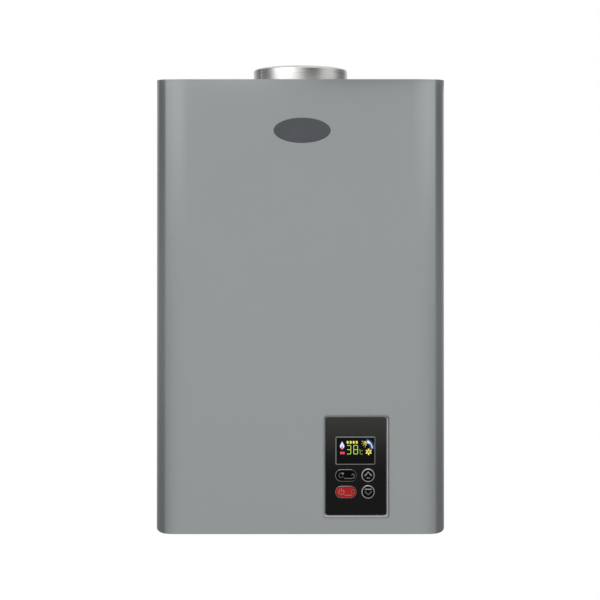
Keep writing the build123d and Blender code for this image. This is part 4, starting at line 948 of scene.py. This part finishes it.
middle = (0, -0.15, -0.25)
panel = (0.074, -0.15, -0.47)
soft_lamp("front_lamp", (0.0, -3.6, -0.35), middle, 2.2, 2.2, power=53, mirrored=False)
for side in (-1, 1):
    place, aim = (side * 2.3, 0.62, -0.1), (side * 0.19, -0.07, -0.25)
    soft_lamp(f"side_fill_{side + 1}", place, aim, 1.2, 1.6, power=6, mirrored=False)
soft_lamp("panel_lamp", (-0.08, -0.85, 0.65), panel, 0.8, 0.6, power=4, lights=False)
print("four lamps made")

# %% Floor
FLOOR, FLOOR_HALF = -1.1, 6.0
SHADOW, SHADOW_START, SHADOW_END = 0.25, 0.5, 2.0


def stage_sheet(name, corners, material):
    """A sheet of the studio, which isn't part of the object."""
    mesh = bpy.data.meshes.new(name)
    mesh.from_pydata(corners, [], [(0, 1, 2, 3)])
    mesh.materials.append(material)
    sheet = bpy.data.objects.new(name, mesh)
    bpy.context.scene.collection.objects.link(sheet)
    return sheet


def level(left, right, front, back, height):
    """Corners of a level sheet."""
    return [(left, front, height), (right, front, height), (right, back, height), (left, back, height)]


floor = Finish("pale_floor")
floor.set({"Base Color": (0.9, 0.9, 0.9), "Roughness": 0.9, "Specular IOR Level": 0.0})
matt = Value(floor, floor.shader.outputs[0])
paper = floor.make("ShaderNodeEmission", None, {"Strength": 1.0})
from_axis = (floor.part(0) ** 2 + floor.part(1) ** 2) ** 0.5
to_camera = floor.make("ShaderNodeLightPath", output="Is Camera Ray")
whiteness = floor.seen() - SHADOW * to_camera * (1 - from_axis.smooth(SHADOW_START, SHADOW_END))
top_side = floor.make("ShaderNodeMixShader", None, {0: whiteness, 1: matt, 2: paper})
from_below = floor.make("ShaderNodeNewGeometry", output="Backfacing")
clear = floor.make("ShaderNodeBsdfTransparent")
both = floor.make("ShaderNodeMixShader", None, {0: from_below, 1: top_side, 2: clear})
floor.feed(floor.tree.nodes["Material Output"].inputs["Surface"], both)
stage_sheet("floor", level(-FLOOR_HALF, FLOOR_HALF, -FLOOR_HALF, FLOOR_HALF, FLOOR), floor.material)
print("floor at", FLOOR)

# %% [markdown]
# ## Cards
# Round a shiny object a photographer stands dark cloths and lit cards, out of the picture, so
# that they show only as mirror images. Here cloths make the rounded edges of the casing dark,
# lit cards put a light fringe beside them, cards round the collar make its bands, and two
# level cards tone what is mirrored from below and above. The camera can't see a card and it
# shades nothing. Its ends thin out, so its image is soft.

# %% Soft cards
def soft_card(name, tone, start, end, glow=0.0, rise=None, fall=None, least=0.0, along="X"):
    """Cloth of one tone, or a lit card, that thins out over shares of its length at both ends.
    With rise, its light comes up from its least between two shares of its height, and with
    fall it goes down again."""
    f = Finish(name)
    share = f.make("ShaderNodeTexCoord", output="Generated")
    across = f.make("ShaderNodeSeparateXYZ", None, {0: share}, output=along)
    up = f.make("ShaderNodeSeparateXYZ", None, {0: share}, output="Z")
    light = (1, 1, 1)
    if rise:
        lit_share = up.smooth(*rise)
        if fall:
            lit_share = lit_share * (1 - up.smooth(*fall))
        light = f.blend((least, least, least), (1, 1, 1), lit_share)
    return f.set({
        "Base Color": f.blend((tone,) * 3, (tone * 1.2,) * 3, f.noise(300.0)),
        "Roughness": 0.9,
        "Specular IOR Level": 0.0,
        "Emission Color": light,
        "Emission Strength": glow,
        "Alpha": across.smooth(0.0, start) * (1 - across.smooth(1 - end, 1.0)),
    })


def card(name, corners, finish):
    """A sheet that shows in shiny surfaces alone."""
    sheet = stage_sheet(name, corners, finish)
    sheet.visible_camera = False
    sheet.visible_diffuse = False
    sheet.visible_shadow = False


def round_edge(centre, start, end, distance, height):
    """The ends of a level edge round a point, at angles from the front, positive to the right."""
    x, y = centre
    ends = []
    for angle in (math.radians(start), math.radians(end)):
        ends.append((x + distance * math.sin(angle), y - distance * math.cos(angle), height))
    return ends


print("cards ready")

# %% Cards beside the rounded edges
EDGE_X, EDGE_Y = 0.178, -0.14
CLOTH_AWAY, CLOTH_FOOT, CLOTH_HEAD = 0.2, -0.8, 0.06
GLOW_AWAY, GLOW_FOOT, GLOW_HEAD = 0.17, -0.25, 0.09
rise, fall = (0.3, 0.62), (0.62, 0.95)
edge_cloth = soft_card("edge_cloth", 0.02, 0.29, 0.6, glow=0.2, rise=rise, fall=fall, along="Y")
edge_glow = soft_card("edge_glow", 0.0, 0.5, 0.3, glow=1.6, rise=(0.1, 0.9), least=0.64)
for side in (-1, 1):
    edge = (side * EDGE_X, EDGE_Y)
    foot = round_edge(edge, side * 8, side * 168, CLOTH_AWAY, CLOTH_FOOT)
    head = round_edge(edge, side * 11, side * 116, CLOTH_AWAY, CLOTH_HEAD)
    card(f"edge_card_{side + 1}", foot + head[::-1], edge_cloth)
    foot = round_edge(edge, side * -6, side * 30, GLOW_AWAY, GLOW_FOOT)
    head = round_edge(edge, side * -6, side * 30, GLOW_AWAY, GLOW_HEAD)
    card(f"glow_card_{side + 1}", foot + head[::-1], edge_glow)
print("two cloths and two lit cards beside the casing")

# %% Cards round the collar
collar_cloth = soft_card("collar_cloth", 0.02, 0.34, 0.34)
collar_shade = soft_card("collar_shade", 0.02, 0.34, 0.34, glow=0.15)
collar_glow = soft_card("collar_glow", 0.8, 0.3, 0.3, glow=2.3)
round_cards = (  # angles of both ends, distance, lower and upper height
    (-54, -144, 0.45, 0.064, 0.2, collar_shade),
    (-68, -4, 0.3, 0.072, 0.125, collar_glow),
    (-4, 56, 0.3, 0.062, 0.125, collar_cloth),
    (80, 144, 0.45, 0.064, 0.2, collar_shade),
)
for number, (start, end, distance, low, high, finish) in enumerate(round_cards):
    foot = round_edge((0.0, COLLAR_Y), start, end, distance, low)
    head = round_edge((0.0, COLLAR_Y), start, end, distance, high)
    card(f"collar_card_{number}", foot + head[::-1], finish)
print("cards round the collar:", len(round_cards))

# %% Cards below and above
LOW, HIGH = -0.86, 0.2
grey_card = soft_card("grey_card", 0.0, 0.02, 0.02, glow=0.6)
white_card = soft_card("white_card", 0.0, 0.02, 0.02, glow=0.95)
card("low_card", level(-0.6, 0.6, -1.15, -0.2, LOW), grey_card)
card("high_card", level(-0.3, 0.2, -0.45, -0.2, HIGH), white_card)
print("a grey card below and a white one above")
